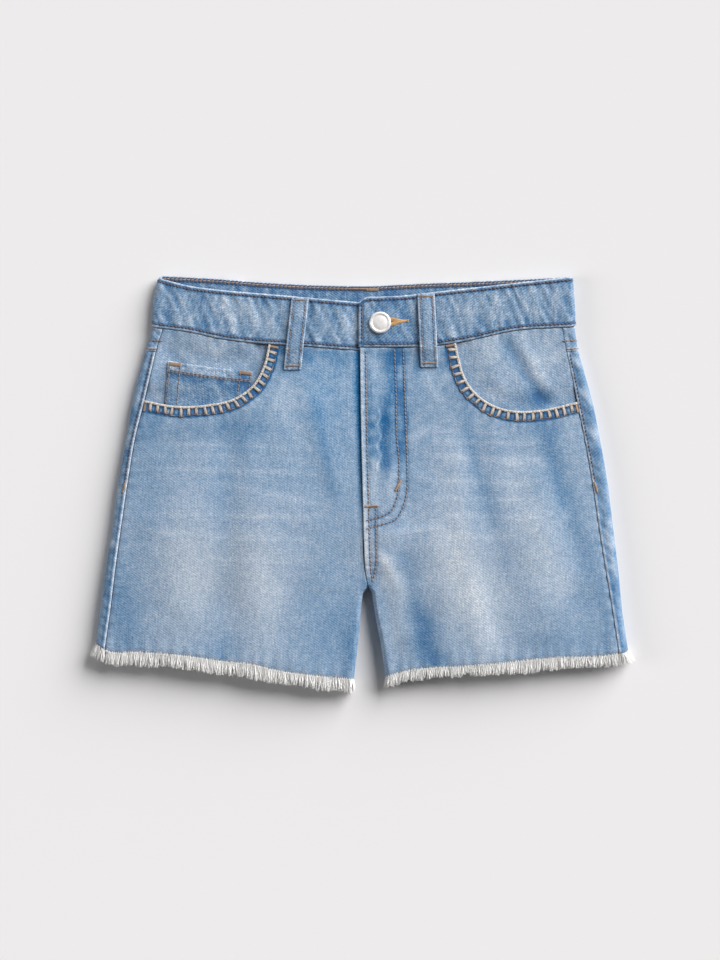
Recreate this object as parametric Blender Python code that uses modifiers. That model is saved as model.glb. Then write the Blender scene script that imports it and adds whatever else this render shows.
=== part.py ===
"""Denim shorts laid flat, face up: waist towards +Y, floor at z = 0, wearer's right at -X.

Every panel is a wall of cloth placed on the outside faces of the flattened garment.
The back lies on the floor, wraps round each side fold and meets the front at the side
seam. Front and back meet at mid-height along the inner legs.
"""

import math
import random

import bmesh
import bpy
import numpy as np
from mathutils import Vector

MM = 0.001  # the sizes below are in millimetres

# Thicknesses
DENIM = 1.2
FACING = 1.1
COIN_CLOTH = 1.0
BAND = 2.8  # two layers pressed together
LOOP = 1.4
TAPE = 1.0
SEAM = 0.3  # gap between neighbouring pieces
BAND_SEAM = 0.45  # gap under the band, whose edge bends more between its points

# Waistband
BAND_HEIGHT = 38.0
BAND_PROUD = 1.0  # how far the band stands over the panels
BAND_LIFT = 2.8  # the panels rise off the floor by this where the band's back holds them
LIFT_START = 95.0
LIFT_END = 118.0
TAB_EDGE = -1.0
TAB_RAISE = 1.2
TAB_RAISE_END = 26.0
TAB_RAISE_FADE = 22.0
UNDERLAP_END = 24.0
UNDERLAP_OUT = -0.9
UNDERLAP_DIVE = (-12.0, -1.6)

# Fly
FLY_RAISE = 1.3
FLY_RAISE_FLAT = 20.0
FLY_RAISE_FADE = 18.0
FLY_OVERLAP = 6.0
OVERLAP_STOP = -46.0  # below this the fronts meet edge to edge
OVERLAP_FADE = 8.0
RAISE_STOP = -58.0
RAISE_FADE = 22.0
UNDER_DIP = 0.3
FLY_SEAM = 0.5  # the fronts' edges are this far apart below the overlap
ZIP_OUT = -1.9
ZIP_X = (2.5, 28.5)
ZIP_Y = (-22.0, 103.5)

# Legs and crotch
CROTCH = (6.3, -83.3)
BACK_SHORT = 2.5  # the back hem lies this far inside the front one
YOKE_AT_WAIST = 2.5

# Side folds, side seams: x at each height y
OUTLINE = np.array(
    [
        (-165.0, -214.6, -205.6, 208.0, 216.6),
        (-128.4, -209.4, -200.9, 203.4, 211.7),
        (-104.7, -206.6, -197.5, 199.8, 208.2),
        (-69.1, -201.5, -193.2, 194.0, 204.6),
        (-33.6, -195.9, -188.3, 188.4, 200.3),
        (2.0, -191.2, -183.1, 183.2, 195.9),
        (37.5, -184.9, -177.1, 176.8, 189.6),
        (61.2, -180.9, -171.2, 172.0, 184.9),
        (84.9, -175.4, -165.6, 167.3, 178.5),
        (108.6, -168.3, -159.9, 162.3, 172.2),
        (123.0, -164.1, -155.4, 159.8, 170.3),
        (144.2, -162.5, -153.0, 158.0, 169.2),
        (161.6, -158.6, -150.0, 157.0, 167.3),
    ],
    dtype=[(name, float) for name in ("y", "fold_right", "seam_right", "seam_left", "fold_left")],
)

# Inner edges of the two legs, from the hem up to the crotch
INNER_LEG = np.array(
    [
        (-165.0, -5.4, 20.6),
        (-152.1, -4.3, 19.8),
        (-128.4, -1.6, 16.6),
        (-104.7, 0.6, 11.9),
        (-92.8, 1.8, 10.0),
        (-86.5, 3.2, 8.9),
        (-83.3, 6.2, 6.4),
    ],
    dtype=[(name, float) for name in ("y", "right", "left")],
)

# Height of the top face at the side folds, and how much the middle of a leg crowns above it
PUFF = np.array(
    [
        (-165.0, 14.2, 2.2),
        (-80.0, 13.0, 2.6),
        (0.0, 11.5, 2.6),
        (60.0, 10.2, 1.8),
        (118.0, 9.2, 0.6),
        (165.0, 8.9, 0.3),
    ],
    dtype=[(name, float) for name in ("y", "top", "crown")],
)

# Hem of each front, from the side fold to the inner leg
HEM_RIGHT = np.array(
    [
        (-214.0, -127.4),
        (-208.8, -127.8),
        (-201.1, -132.2),
        (-174.9, -133.9),
        (-139.8, -136.5),
        (-106.7, -141.2),
        (-85.5, -143.4),
        (-67.9, -147.7),
        (-36.3, -152.3),
        (-4.3, -155.5),
    ],
    dtype=[(name, float) for name in ("x", "y")],
)
HEM_LEFT = np.array(
    [
        (19.6, -153.9),
        (33.2, -149.5),
        (54.2, -146.4),
        (82.2, -145.0),
        (110.6, -142.5),
        (152.9, -138.3),
        (195.1, -136.5),
        (212.2, -133.9),
        (217.0, -133.0),
    ],
    dtype=[(name, float) for name in ("x", "y")],
)

# Waistband edges
BAND_RIGHT = np.array(
    [
        (-163.0, 162.8, 122.8),
        (-134.3, 155.5, 118.9),
        (-109.8, 152.3, 113.6),
        (-82.2, 149.8, 110.2),
        (-56.1, 147.6, 108.6),
        (-42.7, 146.4, 107.7),
        (-3.2, 143.0, 104.7),
        (24.0, 142.2, 104.0),
    ],
    dtype=[(name, float) for name in ("x", "top", "bottom")],
)
BAND_LEFT = np.array(
    [
        (-1.0, 142.4, 107.0),
        (2.0, 144.9, 107.0),
        (15.8, 146.9, 107.0),
        (31.6, 147.6, 107.0),
        (63.2, 151.2, 108.6),
        (91.6, 154.3, 113.5),
        (117.7, 157.3, 119.4),
        (168.0, 162.8, 123.2),
    ],
    dtype=[(name, float) for name in ("x", "top", "bottom")],
)
BAND_BACK = np.array(
    [
        (-154.0, 163.6),
        (-121.7, 162.0),
        (-68.7, 158.1),
        (-16.6, 156.0),
        (9.5, 155.9),
        (39.5, 157.4),
        (91.6, 159.4),
        (166.7, 162.8),
    ],
    dtype=[(name, float) for name in ("x", "top")],
)

# Free edge of the left front at the fly
FLY_EDGE = np.array(
    [(-83.3, 6.3), (-71.5, 4.3), (-47.0, 2.9), (-22.5, 2.3), (1.2, 1.6), (33.6, 0.8), (107.0, -0.3)],
    dtype=[(name, float) for name in ("y", "x")],
)

# Seam between yoke and back panel, out from the centre back
YOKE_SEAM = np.array(
    [(0.0, 72.0), (60.0, 83.0), (120.0, 96.0), (160.0, 103.2), (180.0, 104.5)],
    dtype=[(name, float) for name in ("out", "y")],
)

# Pocket mouths, from near the side seam to near the waistband
MOUTH_RIGHT = [(-143.8, 60.4), (-120.9, 61.5), (-98.2, 67.1), (-84.5, 77.4), (-76.3, 92.5)]
MOUTH_LEFT = [(141.4, 57.3), (125.6, 56.5), (112.7, 58.5), (99.5, 64.4), (89.1, 73.5), (82.6, 84.1), (78.6, 97.2)]
MOUTH_SIDE_Y = {-1: 64.9, 1: 63.7}
MOUTH_BAND_X = {-1: -72.5, 1: 76.0}
FACING_UNDER = {-1: 24.0, 1: 14.0}  # how far a facing runs on under its front panel
FACING_DEPTH = {-1: 2.8, 1: 1.5}  # depth of its outer face under the mouth
FACING_RISE = 1.3  # away from the mouth a facing comes up by this
FACING_RISE_RUN = 16.0

# Coin pocket corners: x, y of the upper ones, and its foot under the front panel
COIN_SIDE_TOP = (-151.7, 96.3)
COIN_INNER_TOP = (-84.6, 87.7)
COIN_SIDE_FOOT = (-156.0, 44.5)
COIN_INNER_FOOT = (-90.0, 46.0)

# Large soft folds of the front: a ridge or trough along a line, with its half width and height
FOLDS = np.array(
    [
        (72.7, 33.6, 83.0, -45.0, 13.0, 1.0),
        (83.0, -45.0, 101.0, -140.0, 14.0, 1.2),
        (88.5, 33.6, 107.4, -45.4, 11.0, -0.8),
        (145.0, 10.0, 150.0, -110.0, 22.0, 1.0),
        (151.7, 17.8, 173.8, -61.0, 10.0, -0.8),
        (47.4, -61.0, 60.0, -145.0, 13.0, -1.3),
        (24.0, -64.0, 38.0, -130.0, 9.0, 0.7),
        (-137.0, -20.0, -137.0, -130.0, 20.0, 1.0),
        (-74.0, -20.0, -74.0, -140.0, 22.0, 1.2),
        (-104.0, 36.0, -104.0, -130.0, 12.0, -1.1),
        (-44.0, 81.0, -19.0, -14.0, 10.0, 0.7),
        (18.0, -48.0, 34.0, -92.0, 7.0, 0.8),
    ],
    dtype=[(name, float) for name in ("x1", "y1", "x2", "y2", "half_width", "height")],
)

# Belt loops: x at the top and foot, y of both ends
LOOP_WIDTH = 13.8
LOOP_BOW = 1.2
FRONT_LOOPS = {
    "loop_front_right": ((-47.2, 146.3), (-53.5, 89.0)),
    "loop_front_left": ((52.1, 149.2), (54.9, 91.0)),
}
BACK_LOOPS = {"loop_back_right": -98.0, "loop_back_centre": 4.5, "loop_back_left": 103.0}
BACK_LOOP_FOOT = 6.0  # how far a loop reaches below the band

# Button
BUTTON = (15.9, 126.3)
BUTTON_RADIUS = 8.6
NECK_RADIUS = 2.0
EYELET_RADIUS = 2.5
SLOT_LENGTH = 21.0
SLOT_WIDTH = 1.7
SLOT_TURN = math.radians(4.0)

# Frayed hems
STRIP_WIDTH = 1.4
STRIP_CLOTH = 0.8
STRIP_SINK = 0.2  # the strip lies this far inside the panel's outer face
LOCK_LENGTH = (4.5, 8.0)
LOCK_SHARE = 0.6  # a lock's root takes this much of its pitch, and bare strip the rest
LOCK_TIP = 0.5
LOCK_SWAY = 1.8
LOCK_DROOP = 1.6
LOCK_LEAN = 2.0  # outward lean of the locks on the side folds
FRONT_LOCKS = 54
BACK_LOCKS = 60


def material(name, colour, roughness, metallic=0.0):
    made = bpy.data.materials.new(name)
    made.use_nodes = True
    shader = made.node_tree.nodes["Principled BSDF"]
    shader.inputs["Base Color"].default_value = (*colour, 1.0)
    shader.inputs["Roughness"].default_value = roughness
    shader.inputs["Metallic"].default_value = metallic
    return made


def ramp(value, start, end):
    """0 before start, 1 after end, smooth between."""
    t = min(max((value - start) / (end - start), 0.0), 1.0)
    return t * t * (3.0 - 2.0 * t)


def mix(a, b, share):
    return a + (b - a) * share


def curve(table, key, column):
    """A smooth curve through one column of a table, straight past its ends."""
    knots, values = table[key], table[column]
    slopes = np.gradient(values, knots)

    def value(at):
        inside = min(max(at, knots[0]), knots[-1])
        i = min(max(int(np.searchsorted(knots, inside)) - 1, 0), len(knots) - 2)
        width = knots[i + 1] - knots[i]
        t = (inside - knots[i]) / width
        s = 1.0 - t
        smooth = (
            (1.0 + 2.0 * t) * s * s * values[i]
            + t * s * s * width * slopes[i]
            + t * t * (3.0 - 2.0 * t) * values[i + 1]
            - t * t * s * width * slopes[i + 1]
        )
        return float(smooth + (slopes[0] if at < inside else slopes[-1]) * (at - inside))

    return value


fold_x = {-1: curve(OUTLINE, "y", "fold_right"), 1: curve(OUTLINE, "y", "fold_left")}
seam_x = {-1: curve(OUTLINE, "y", "seam_right"), 1: curve(OUTLINE, "y", "seam_left")}
inner_x = {-1: curve(INNER_LEG, "y", "right"), 1: curve(INNER_LEG, "y", "left")}
hem_y = {-1: curve(HEM_RIGHT, "x", "y"), 1: curve(HEM_LEFT, "x", "y")}
band_top = {-1: curve(BAND_RIGHT, "x", "top"), 1: curve(BAND_LEFT, "x", "top")}
band_bottom = {-1: curve(BAND_RIGHT, "x", "bottom"), 1: curve(BAND_LEFT, "x", "bottom")}
band_back = curve(BAND_BACK, "x", "top")
top_height = curve(PUFF, "y", "top")
crown_height = curve(PUFF, "y", "crown")
fly_x = curve(FLY_EDGE, "y", "x")
yoke_y = curve(YOKE_SEAM, "out", "y")


# The flattened garment's outer faces


def layers(y):
    """Radius and middle height of the side fold at y."""
    under = BAND_LIFT * ramp(y, LIFT_START, LIFT_END)
    over = top_height(y)
    return (over - under) / 2.0, (over + under) / 2.0


def to_notch(x, y):
    """Distance and direction to the gap between the legs."""
    if y >= CROTCH[1]:
        way = Vector((CROTCH[0] - x, CROTCH[1] - y))
        reach = way.length
        return reach, way / reach if reach > 0.0 else Vector((0.0, -1.0))
    side = -1 if x < CROTCH[0] else 1
    return max(side * (x - inner_x[side](y)), 0.0), Vector((-side, 0.0))


def turned_down(distance, radius):
    """Cosine and sine of the slope where the cloth rolls over an edge."""
    cosine = min(max((radius - distance) / radius, 0.0), 1.0)
    return cosine, math.sqrt(1.0 - cosine * cosine)


def relief(x, y):
    """Crown and large folds of the front above its side folds."""
    radius = layers(y)[0]
    to_fold = min(x - fold_x[-1](y), fold_x[1](y) - x) - radius
    inward = ramp(to_fold, 0.0, 60.0) * ramp(to_notch(x, y)[0] - radius, 0.0, 45.0)
    folds = 0.0
    for fold in FOLDS:
        start = Vector((fold["x1"], fold["y1"]))
        line = Vector((fold["x2"], fold["y2"])) - start
        point = Vector((x, y)) - start
        share = point.dot(line) / line.length_squared
        ends = ramp(share, -0.25, 0.2) * (1.0 - ramp(share, 0.8, 1.25))
        across = (point - line * share).length / fold["half_width"]
        folds += fold["height"] * ends * math.exp(-across * across)
    shallow = ramp(to_fold, 0.0, 16.0) * ramp(to_notch(x, y)[0] - radius, 0.0, 14.0)
    return crown_height(y) * inward + folds * shallow


def front(x, y, out=0.0):
    """A point `out` outside the front's outer face."""
    radius, middle = layers(y)
    distance, way = to_notch(x, y)
    cosine, sine = turned_down(distance, radius)
    z = middle + max((radius + out) * sine, SEAM / 2.0) + relief(x, y)
    return Vector((x + way.x * out * cosine, y + way.y * out * cosine, z))


def back(side, s, y, out=0.0):
    """A point `out` outside the back, s along the cloth: floor, side fold, then the front."""
    radius, middle = layers(y)
    flat_end = side * fold_x[side](y) - radius
    if s <= flat_end:
        x = side * s
        distance, way = to_notch(x, y)
        cosine, sine = turned_down(distance, radius)
        z = middle - max((radius + out) * sine, SEAM / 2.0)
        return Vector((x + way.x * out * cosine, y + way.y * out * cosine, z))
    turn = (s - flat_end) / radius
    if turn <= math.pi:
        across = flat_end + (radius + out) * math.sin(turn)
        return Vector((side * across, y, middle - (radius + out) * math.cos(turn)))
    x = side * (flat_end - (s - flat_end - math.pi * radius))
    return Vector((x, y, middle + radius + out + relief(x, y)))


def level(side, s, y):
    """0 on the floor, 1 on the front, between them on the side fold."""
    radius = layers(y)[0]
    turn = (s - side * fold_x[side](y) + radius) / radius
    return (1.0 - math.cos(min(max(turn, 0.0), math.pi))) / 2.0


# Making a wall of cloth


collection = bpy.data.collections.new("denim_shorts")
tools = bpy.data.collections.new("cutters")


def sheet(columns, rows, place, outer, thickness):
    """A closed wall: a grid with a second face behind it, each point set by place(a, b, out)."""
    mesh = bmesh.new()
    bmesh.ops.create_grid(mesh, x_segments=columns, y_segments=rows, size=0.5)
    made = bmesh.ops.extrude_face_region(mesh, geom=mesh.faces[:])["geom"]
    inner = {item for item in made if isinstance(item, bmesh.types.BMVert)}
    low_edge = [face for face in mesh.faces if all(vert.co.y < -0.499 for vert in face.verts)]
    low_edge.sort(key=lambda face: face.calc_center_median().x)
    for vert in mesh.verts:
        out = outer - thickness if vert in inner else outer
        vert.co = place(vert.co.x + 0.5, vert.co.y + 0.5, out) * MM
    face_out(mesh)
    return mesh, low_edge


def face_out(mesh):
    """Turns the faces outwards, also on a wall that bends back over itself."""
    bmesh.ops.recalc_face_normals(mesh, faces=mesh.faces)
    if mesh.calc_volume(signed=True) < 0.0:
        bmesh.ops.reverse_faces(mesh, faces=mesh.faces)


def finish(name, mesh, finish_material):
    data = bpy.data.meshes.new(name)
    mesh.to_mesh(data)
    mesh.free()
    data.materials.append(finish_material)
    made = bpy.data.objects.new(name, data)
    collection.objects.link(made)
    return made


def piece(name, columns, rows, place, outer, thickness, finish_material):
    mesh, _ = sheet(columns, rows, place, outer, thickness)
    return finish(name, mesh, finish_material)


def coons(u, v, bottom, top, outer, inner):
    """A point of the patch between four edges, each a function of its own share."""
    across = mix(bottom(u), top(u), v)
    along = mix(outer(v), inner(v), u)
    corners = mix(mix(bottom(0.0), bottom(1.0), u), mix(top(0.0), top(1.0), u), v)
    return across + along - corners


def through(points, share):
    """A point at a share of the way along a smooth curve through the points."""
    lengths = [0.0]
    for a, b in zip(points, points[1:]):
        lengths.append(lengths[-1] + (b - a).length)
    table = np.array(
        [(reach, point.x, point.y) for reach, point in zip(lengths, points)],
        dtype=[("reach", float), ("x", float), ("y", float)],
    )
    at = share * lengths[-1]
    return Vector((curve(table, "reach", "x")(at), curve(table, "reach", "y")(at)))


# Fronts

EDGE_COLUMNS = 4  # columns that roll over the inner leg, rows over the crotch
FRONT_COLUMNS = 14
LEG_ROWS = 5
HIP_ROWS = 11


def fly_raise(x, y):
    """How far the left front stands up over the fly."""
    across = 1.0 - ramp(x - fly_x(y), FLY_RAISE_FLAT, FLY_RAISE_FLAT + FLY_RAISE_FADE)
    return FLY_RAISE * across * ramp(y, RAISE_STOP - RAISE_FADE, RAISE_STOP)


def under_dip(x, y):
    """How far the right front dips under the fly."""
    return UNDER_DIP * ramp(x - fly_x(y), -8.0, -0.5) * ramp(y, RAISE_STOP - RAISE_FADE, RAISE_STOP)


def mouth(side):
    """The points of a pocket mouth, with its ends on the side seam and the band."""
    inner = MOUTH_RIGHT if side < 0 else MOUTH_LEFT
    start = Vector((seam_x[side](MOUTH_SIDE_Y[side]), MOUTH_SIDE_Y[side]))
    end_x = MOUTH_BAND_X[side]
    end = Vector((end_x, band_bottom[side](end_x) - BAND_SEAM))
    return [start, *(Vector(point) for point in inner), end]


def hem_corner(side):
    """Where the side seam meets the front hem."""
    y = hem_y[side](fold_x[side](-130.0))
    for _ in range(4):
        y = hem_y[side](seam_x[side](y))
    return Vector((seam_x[side](y), y))


def inner_corner(side):
    """Where the inner leg meets the hem."""
    y = -154.0
    for _ in range(4):
        y = hem_y[side](inner_x[side](y))
    return Vector((inner_x[side](y), y))


def centre_edge_x(side, y):
    """The front's own edge above the crotch: an edge seam, and an overlap along the fly."""
    lap = FLY_OVERLAP * ramp(y, OVERLAP_STOP, OVERLAP_STOP + OVERLAP_FADE) if side < 0 else 0.0
    return fly_x(y) + lap + side * FLY_SEAM / 2.0


def inner_edge(side, share, hem_y_here, top_y, centre_x):
    """Up the inner leg, over the crotch in close steps, then up the centre."""
    rows = share * (LEG_ROWS + EDGE_COLUMNS + HIP_ROWS)
    if rows <= LEG_ROWS:
        y = mix(hem_y_here, CROTCH[1], rows / LEG_ROWS)
        return Vector((inner_x[side](y), y))
    radius = layers(CROTCH[1])[0]
    if rows <= LEG_ROWS + EDGE_COLUMNS:
        turn = (rows - LEG_ROWS) / EDGE_COLUMNS * math.pi / 2.0
        y = CROTCH[1] + radius * (1.0 - math.cos(turn))
    else:
        y = mix(CROTCH[1] + radius, top_y, (rows - LEG_ROWS - EDGE_COLUMNS) / HIP_ROWS)
    return Vector((centre_x(y), y))


def close_to_edge(share, width, radius, columns):
    """Share of the way across, with the last columns spaced to roll over the inner edge."""
    flat = columns / (columns + EDGE_COLUMNS)
    if share <= flat:
        return share / flat * (1.0 - radius / width)
    turn = (share - flat) / (1.0 - flat) * math.pi / 2.0
    return 1.0 - radius * (1.0 - math.sin(turn)) / width


def front_cloth(side):
    """Front panel, from the side seam to the inner leg and the fly, its pocket mouth cut away."""
    line = mouth(side)
    low_outer, low_inner = hem_corner(side), inner_corner(side)
    mouth_share = 0.6
    band_x = centre_edge_x(side, 106.0)
    top_y = band_bottom[side](band_x) - BAND_SEAM

    def bottom(u):
        x = mix(low_outer.x, low_inner.x, u)
        return Vector((x, hem_y[side](x)))

    def top(u):
        if u <= mouth_share:
            return through(line, u / mouth_share)
        x = mix(line[-1].x, band_x, (u - mouth_share) / (1.0 - mouth_share))
        return Vector((x, band_bottom[side](x) - BAND_SEAM))

    def outer(v):
        y = mix(low_outer.y, line[0].y, v)
        return Vector((seam_x[side](y), y))

    def inner(v):
        return inner_edge(side, v, low_inner.y, top_y, lambda y: centre_edge_x(side, y))

    def place(a, b, out):
        width = abs(inner(b).x - outer(b).x)
        radius = layers(inner(b).y)[0]
        u = close_to_edge(a, width, radius, FRONT_COLUMNS)
        point = coons(u, b, bottom, top, outer, inner)
        step = fly_raise(*point) if side > 0 else -under_dip(*point)
        return front(point.x, point.y, out + step)

    return FRONT_COLUMNS + EDGE_COLUMNS, LEG_ROWS + EDGE_COLUMNS + HIP_ROWS, place


# Backs and yokes

FLAT_COLUMNS = 6
TURN_COLUMNS = 7
STRIP_COLUMNS = 2
YOKE_ROWS = 4


def centre_back_x(y):
    return mix(CROTCH[0], YOKE_AT_WAIST, (y - CROTCH[1]) / (LIFT_END - CROTCH[1]))


def wrapped(side, share, y, inner_s, edge_columns):
    """Length along the cloth at a share of the columns: inner edge, floor, side fold, strip."""
    radius = layers(y)[0]
    flat_end = side * fold_x[side](y) - radius
    turn_end = flat_end + math.pi * radius
    seam = side * seam_x[side](y) + SEAM
    stops = [inner_s]
    for i in range(1, edge_columns + 1):
        turn = i / edge_columns * math.pi / 2.0
        stops.append(inner_s + radius * (1.0 - math.cos(turn)))
    start = stops[-1]
    stops += [mix(start, flat_end, i / FLAT_COLUMNS) for i in range(1, FLAT_COLUMNS + 1)]
    stops += [mix(flat_end, turn_end, i / TURN_COLUMNS) for i in range(1, TURN_COLUMNS + 1)]
    last = turn_end + flat_end - seam
    stops += [mix(turn_end, last, i / STRIP_COLUMNS) for i in range(1, STRIP_COLUMNS + 1)]
    return stops[round(share * (len(stops) - 1))]


def back_hem(side, s, y):
    """Height of the back's hem: inside the front one on the floor, level with it at both edges."""
    x = back(side, s, y).x
    inward = ramp(to_notch(x, y)[0], 0.0, 15.0)
    return hem_y[side](x) + BACK_SHORT * (1.0 - level(side, s, y)) * inward


def yoke_line(side, s, y):
    return yoke_y(abs(back(side, s, y).x - YOKE_AT_WAIST))


def waist_line(side, s, y):
    """The band's lower edge, from the back's to the front's round the side fold."""
    x = back(side, s, y).x
    return mix(band_back(x) - BAND_HEIGHT, band_bottom[side](x), level(side, s, y))


def back_cloth(side):
    """Back panel, from the centre back and inner leg along the floor and round to the side seam."""
    rows = LEG_ROWS + EDGE_COLUMNS + HIP_ROWS
    crotch_radius = layers(CROTCH[1])[0]

    def inner_s(y):
        if y < CROTCH[1]:
            return side * inner_x[side](y)
        return side * centre_back_x(y) + SEAM / 2.0

    def height(share, low, high, weight):
        """Rows that bunch over the crotch at the inner edge and run evenly at the side."""
        step = share * rows
        if step <= LEG_ROWS:
            bunched = mix(low, CROTCH[1], step / LEG_ROWS)
        elif step <= LEG_ROWS + EDGE_COLUMNS:
            turn = (step - LEG_ROWS) / EDGE_COLUMNS * math.pi / 2.0
            bunched = CROTCH[1] + crotch_radius * (1.0 - math.cos(turn))
        else:
            rest = (step - LEG_ROWS - EDGE_COLUMNS) / HIP_ROWS
            bunched = mix(CROTCH[1] + crotch_radius, high, rest)
        return mix(bunched, mix(low, high, share), weight)

    def place(a, b, out):
        y = mix(-130.0, 90.0, b)
        for _ in range(4):
            s = wrapped(side, a, y, inner_s(y), EDGE_COLUMNS)
            y = height(b, back_hem(side, s, y), yoke_line(side, s, y) - SEAM, ramp(a, 0.2, 0.7))
        return back(side, s, y, out)

    return EDGE_COLUMNS + FLAT_COLUMNS + TURN_COLUMNS + STRIP_COLUMNS, rows, place


def yoke(name, side, finish_material):
    """Back yoke between the back panel and the band, round to the side seam."""

    def place(a, b, out):
        y = 100.0
        for _ in range(4):
            s = wrapped(side, a, y, side * centre_back_x(y) + SEAM / 2.0, 0)
            y = mix(yoke_line(side, s, y), waist_line(side, s, y) - BAND_SEAM, b)
        return back(side, s, y, out)

    columns = FLAT_COLUMNS + TURN_COLUMNS + STRIP_COLUMNS
    return piece(name, columns, YOKE_ROWS, place, 0.0, DENIM, finish_material)


# Waistband

BAND_FRONT_COLUMNS = 16
BAND_BACK_COLUMNS = 9
BAND_ROWS = 3


def band_out(x):
    """Outer face of the front of the band: a tab at the wearer's left over a sunk underlap."""
    return BAND_PROUD + TAB_RAISE * (1.0 - ramp(x, TAB_RAISE_END, TAB_RAISE_END + TAB_RAISE_FADE))


def underlap_out(x):
    return mix(BAND_PROUD, UNDERLAP_OUT, ramp(x, *UNDERLAP_DIVE))


def waistband(finish_material):
    """One strip round the waist, from the tab's end round the back to the underlap's end."""
    half = BAND_BACK_COLUMNS + TURN_COLUMNS + BAND_FRONT_COLUMNS
    ends = {-1: UNDERLAP_END, 1: TAB_EDGE}

    def station(side, steps, y):
        radius = layers(y)[0]
        flat_end = side * fold_x[side](y) - radius
        turn_end = flat_end + math.pi * radius
        last = turn_end + flat_end - side * ends[side]
        start = side * YOKE_AT_WAIST
        if steps <= BAND_BACK_COLUMNS:
            return mix(start, flat_end, steps / BAND_BACK_COLUMNS)
        steps -= BAND_BACK_COLUMNS
        if steps <= TURN_COLUMNS:
            return mix(flat_end, turn_end, steps / TURN_COLUMNS)
        return mix(turn_end, last, (steps - TURN_COLUMNS) / BAND_FRONT_COLUMNS)

    def place(a, b, out):
        steps = (a * 2.0 - 1.0) * half
        side = -1 if steps < 0.0 else 1
        y = 135.0
        for _ in range(4):
            s = station(side, abs(steps), y)
            x = back(side, s, y).x
            share = level(side, s, y)
            low = mix(band_back(x) - BAND_HEIGHT, band_bottom[side](x), share)
            high = mix(band_back(x), band_top[side](x), share)
            y = mix(low, high, b)
        step = BAND_PROUD
        if share == 1.0:
            step = band_out(x) if side > 0 else underlap_out(x)
        return back(side, s, y, out + step)

    return piece("waistband", 2 * half, BAND_ROWS, place, 0.0, BAND, finish_material)


# Pockets


def mouth_distance(side, x, y):
    """Distance from the pocket mouth, positive inside the opening."""
    line = mouth(side)
    point = Vector((x, y))
    best = None
    for a, b in zip(line, line[1:]):
        share = min(max((point - a).dot(b - a) / (b - a).length_squared, 0.0), 1.0)
        gap = point - mix(a, b, share)
        if best is None or gap.length < abs(best):
            turn = (b.x - a.x) * gap.y - (b.y - a.y) * gap.x
            best = gap.length if turn * -side > 0.0 else -gap.length
    return best


def facing_out(side, x, y):
    """Outer face of a facing: sunk at the mouth, level with the front by the band and side."""
    rise = ramp(mouth_distance(side, x, y), 3.0, 3.0 + FACING_RISE_RUN)
    return FACING_RISE * rise - FACING_DEPTH[side]


def facing(name, side, finish_material):
    """Hip piece behind the pocket mouth, sewn into the side seam and the band."""
    line = mouth(side)
    centre = Vector((side * 150.0, 112.0))
    under = FACING_UNDER[side]
    spread = [point + (point - centre).normalized() * under for point in line[1:-1]]
    foot_y = line[0].y - under
    start = Vector((seam_x[side](foot_y), foot_y))
    end = Vector((line[-1].x - side * under, band_bottom[side](line[-1].x) - BAND_SEAM - 7.0))
    low = [start, *spread, end]
    top_outer = Vector((seam_x[side](122.0), 122.0))
    top_outer.y = band_bottom[side](top_outer.x) - BAND_SEAM
    top_outer.x = seam_x[side](top_outer.y)

    def bottom(u):
        return through(low, u)

    def top(u):
        x = mix(top_outer.x, end.x, u)
        return Vector((x, band_bottom[side](x) - BAND_SEAM))

    def outer(v):
        y = mix(start.y, top_outer.y, v)
        return Vector((seam_x[side](y), y))

    def inner(v):
        return mix(end, top(1.0), v)

    def place(a, b, out):
        point = coons(a, b, bottom, top, outer, inner)
        return front(point.x, point.y, out + facing_out(side, *point))

    return piece(name, 12, 8, place, 0.0, FACING, finish_material)


def coin_pocket(finish_material):
    """Small pocket on the right facing, its foot under the front panel."""

    def place(a, b, out):
        low = mix(Vector(COIN_SIDE_FOOT), Vector(COIN_INNER_FOOT), a)
        high = mix(Vector(COIN_SIDE_TOP), Vector(COIN_INNER_TOP), a)
        point = mix(low, high, b)
        step = facing_out(-1, *point) + SEAM + COIN_CLOTH
        return front(point.x, point.y, out + step)

    return piece("coin_pocket", 8, 8, place, 0.0, COIN_CLOTH, finish_material)


def closed_zip(finish_material):
    """Tape of the closed zip, behind the fly's edge."""

    def place(a, b, out):
        x, y = mix(*ZIP_X, a), mix(*ZIP_Y, b)
        return front(x, y, out + ZIP_OUT)

    return piece("zip", 2, 8, place, 0.0, TAPE, finish_material)


# Belt loops


def front_loop(name, top, foot, finish_material):
    """Loop over the front of the band, sewn flat at both ends and bowed between them."""

    def place(a, b, out):
        y = mix(foot[1], top[1], b)
        x = mix(foot[0], top[0], b) + (a - 0.5) * LOOP_WIDTH
        side = -1 if x < 0.0 else 1
        edge = band_bottom[side](x)
        cover = ramp(y, edge - 8.0, edge - 1.0)
        band = band_out(x) if side > 0 else underlap_out(x)
        step = band * cover + SEAM + LOOP + LOOP_BOW * math.sin(math.pi * b)
        return front(x, y, out + step)

    return piece(name, 2, 11, place, 0.0, LOOP, finish_material)


def back_loop(name, centre, finish_material):
    """Loop under the back of the band, pressed flat on the floor."""

    def place(a, b, out):
        x = centre + (a - 0.5) * LOOP_WIDTH
        high = band_back(centre) - 0.5
        y = mix(high - BAND_HEIGHT - BACK_LOOP_FOOT, high, b)
        return Vector((x, y, -out))

    return piece(name, 1, 1, place, 0.0, LOOP, finish_material)


# Button and its hole


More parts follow.
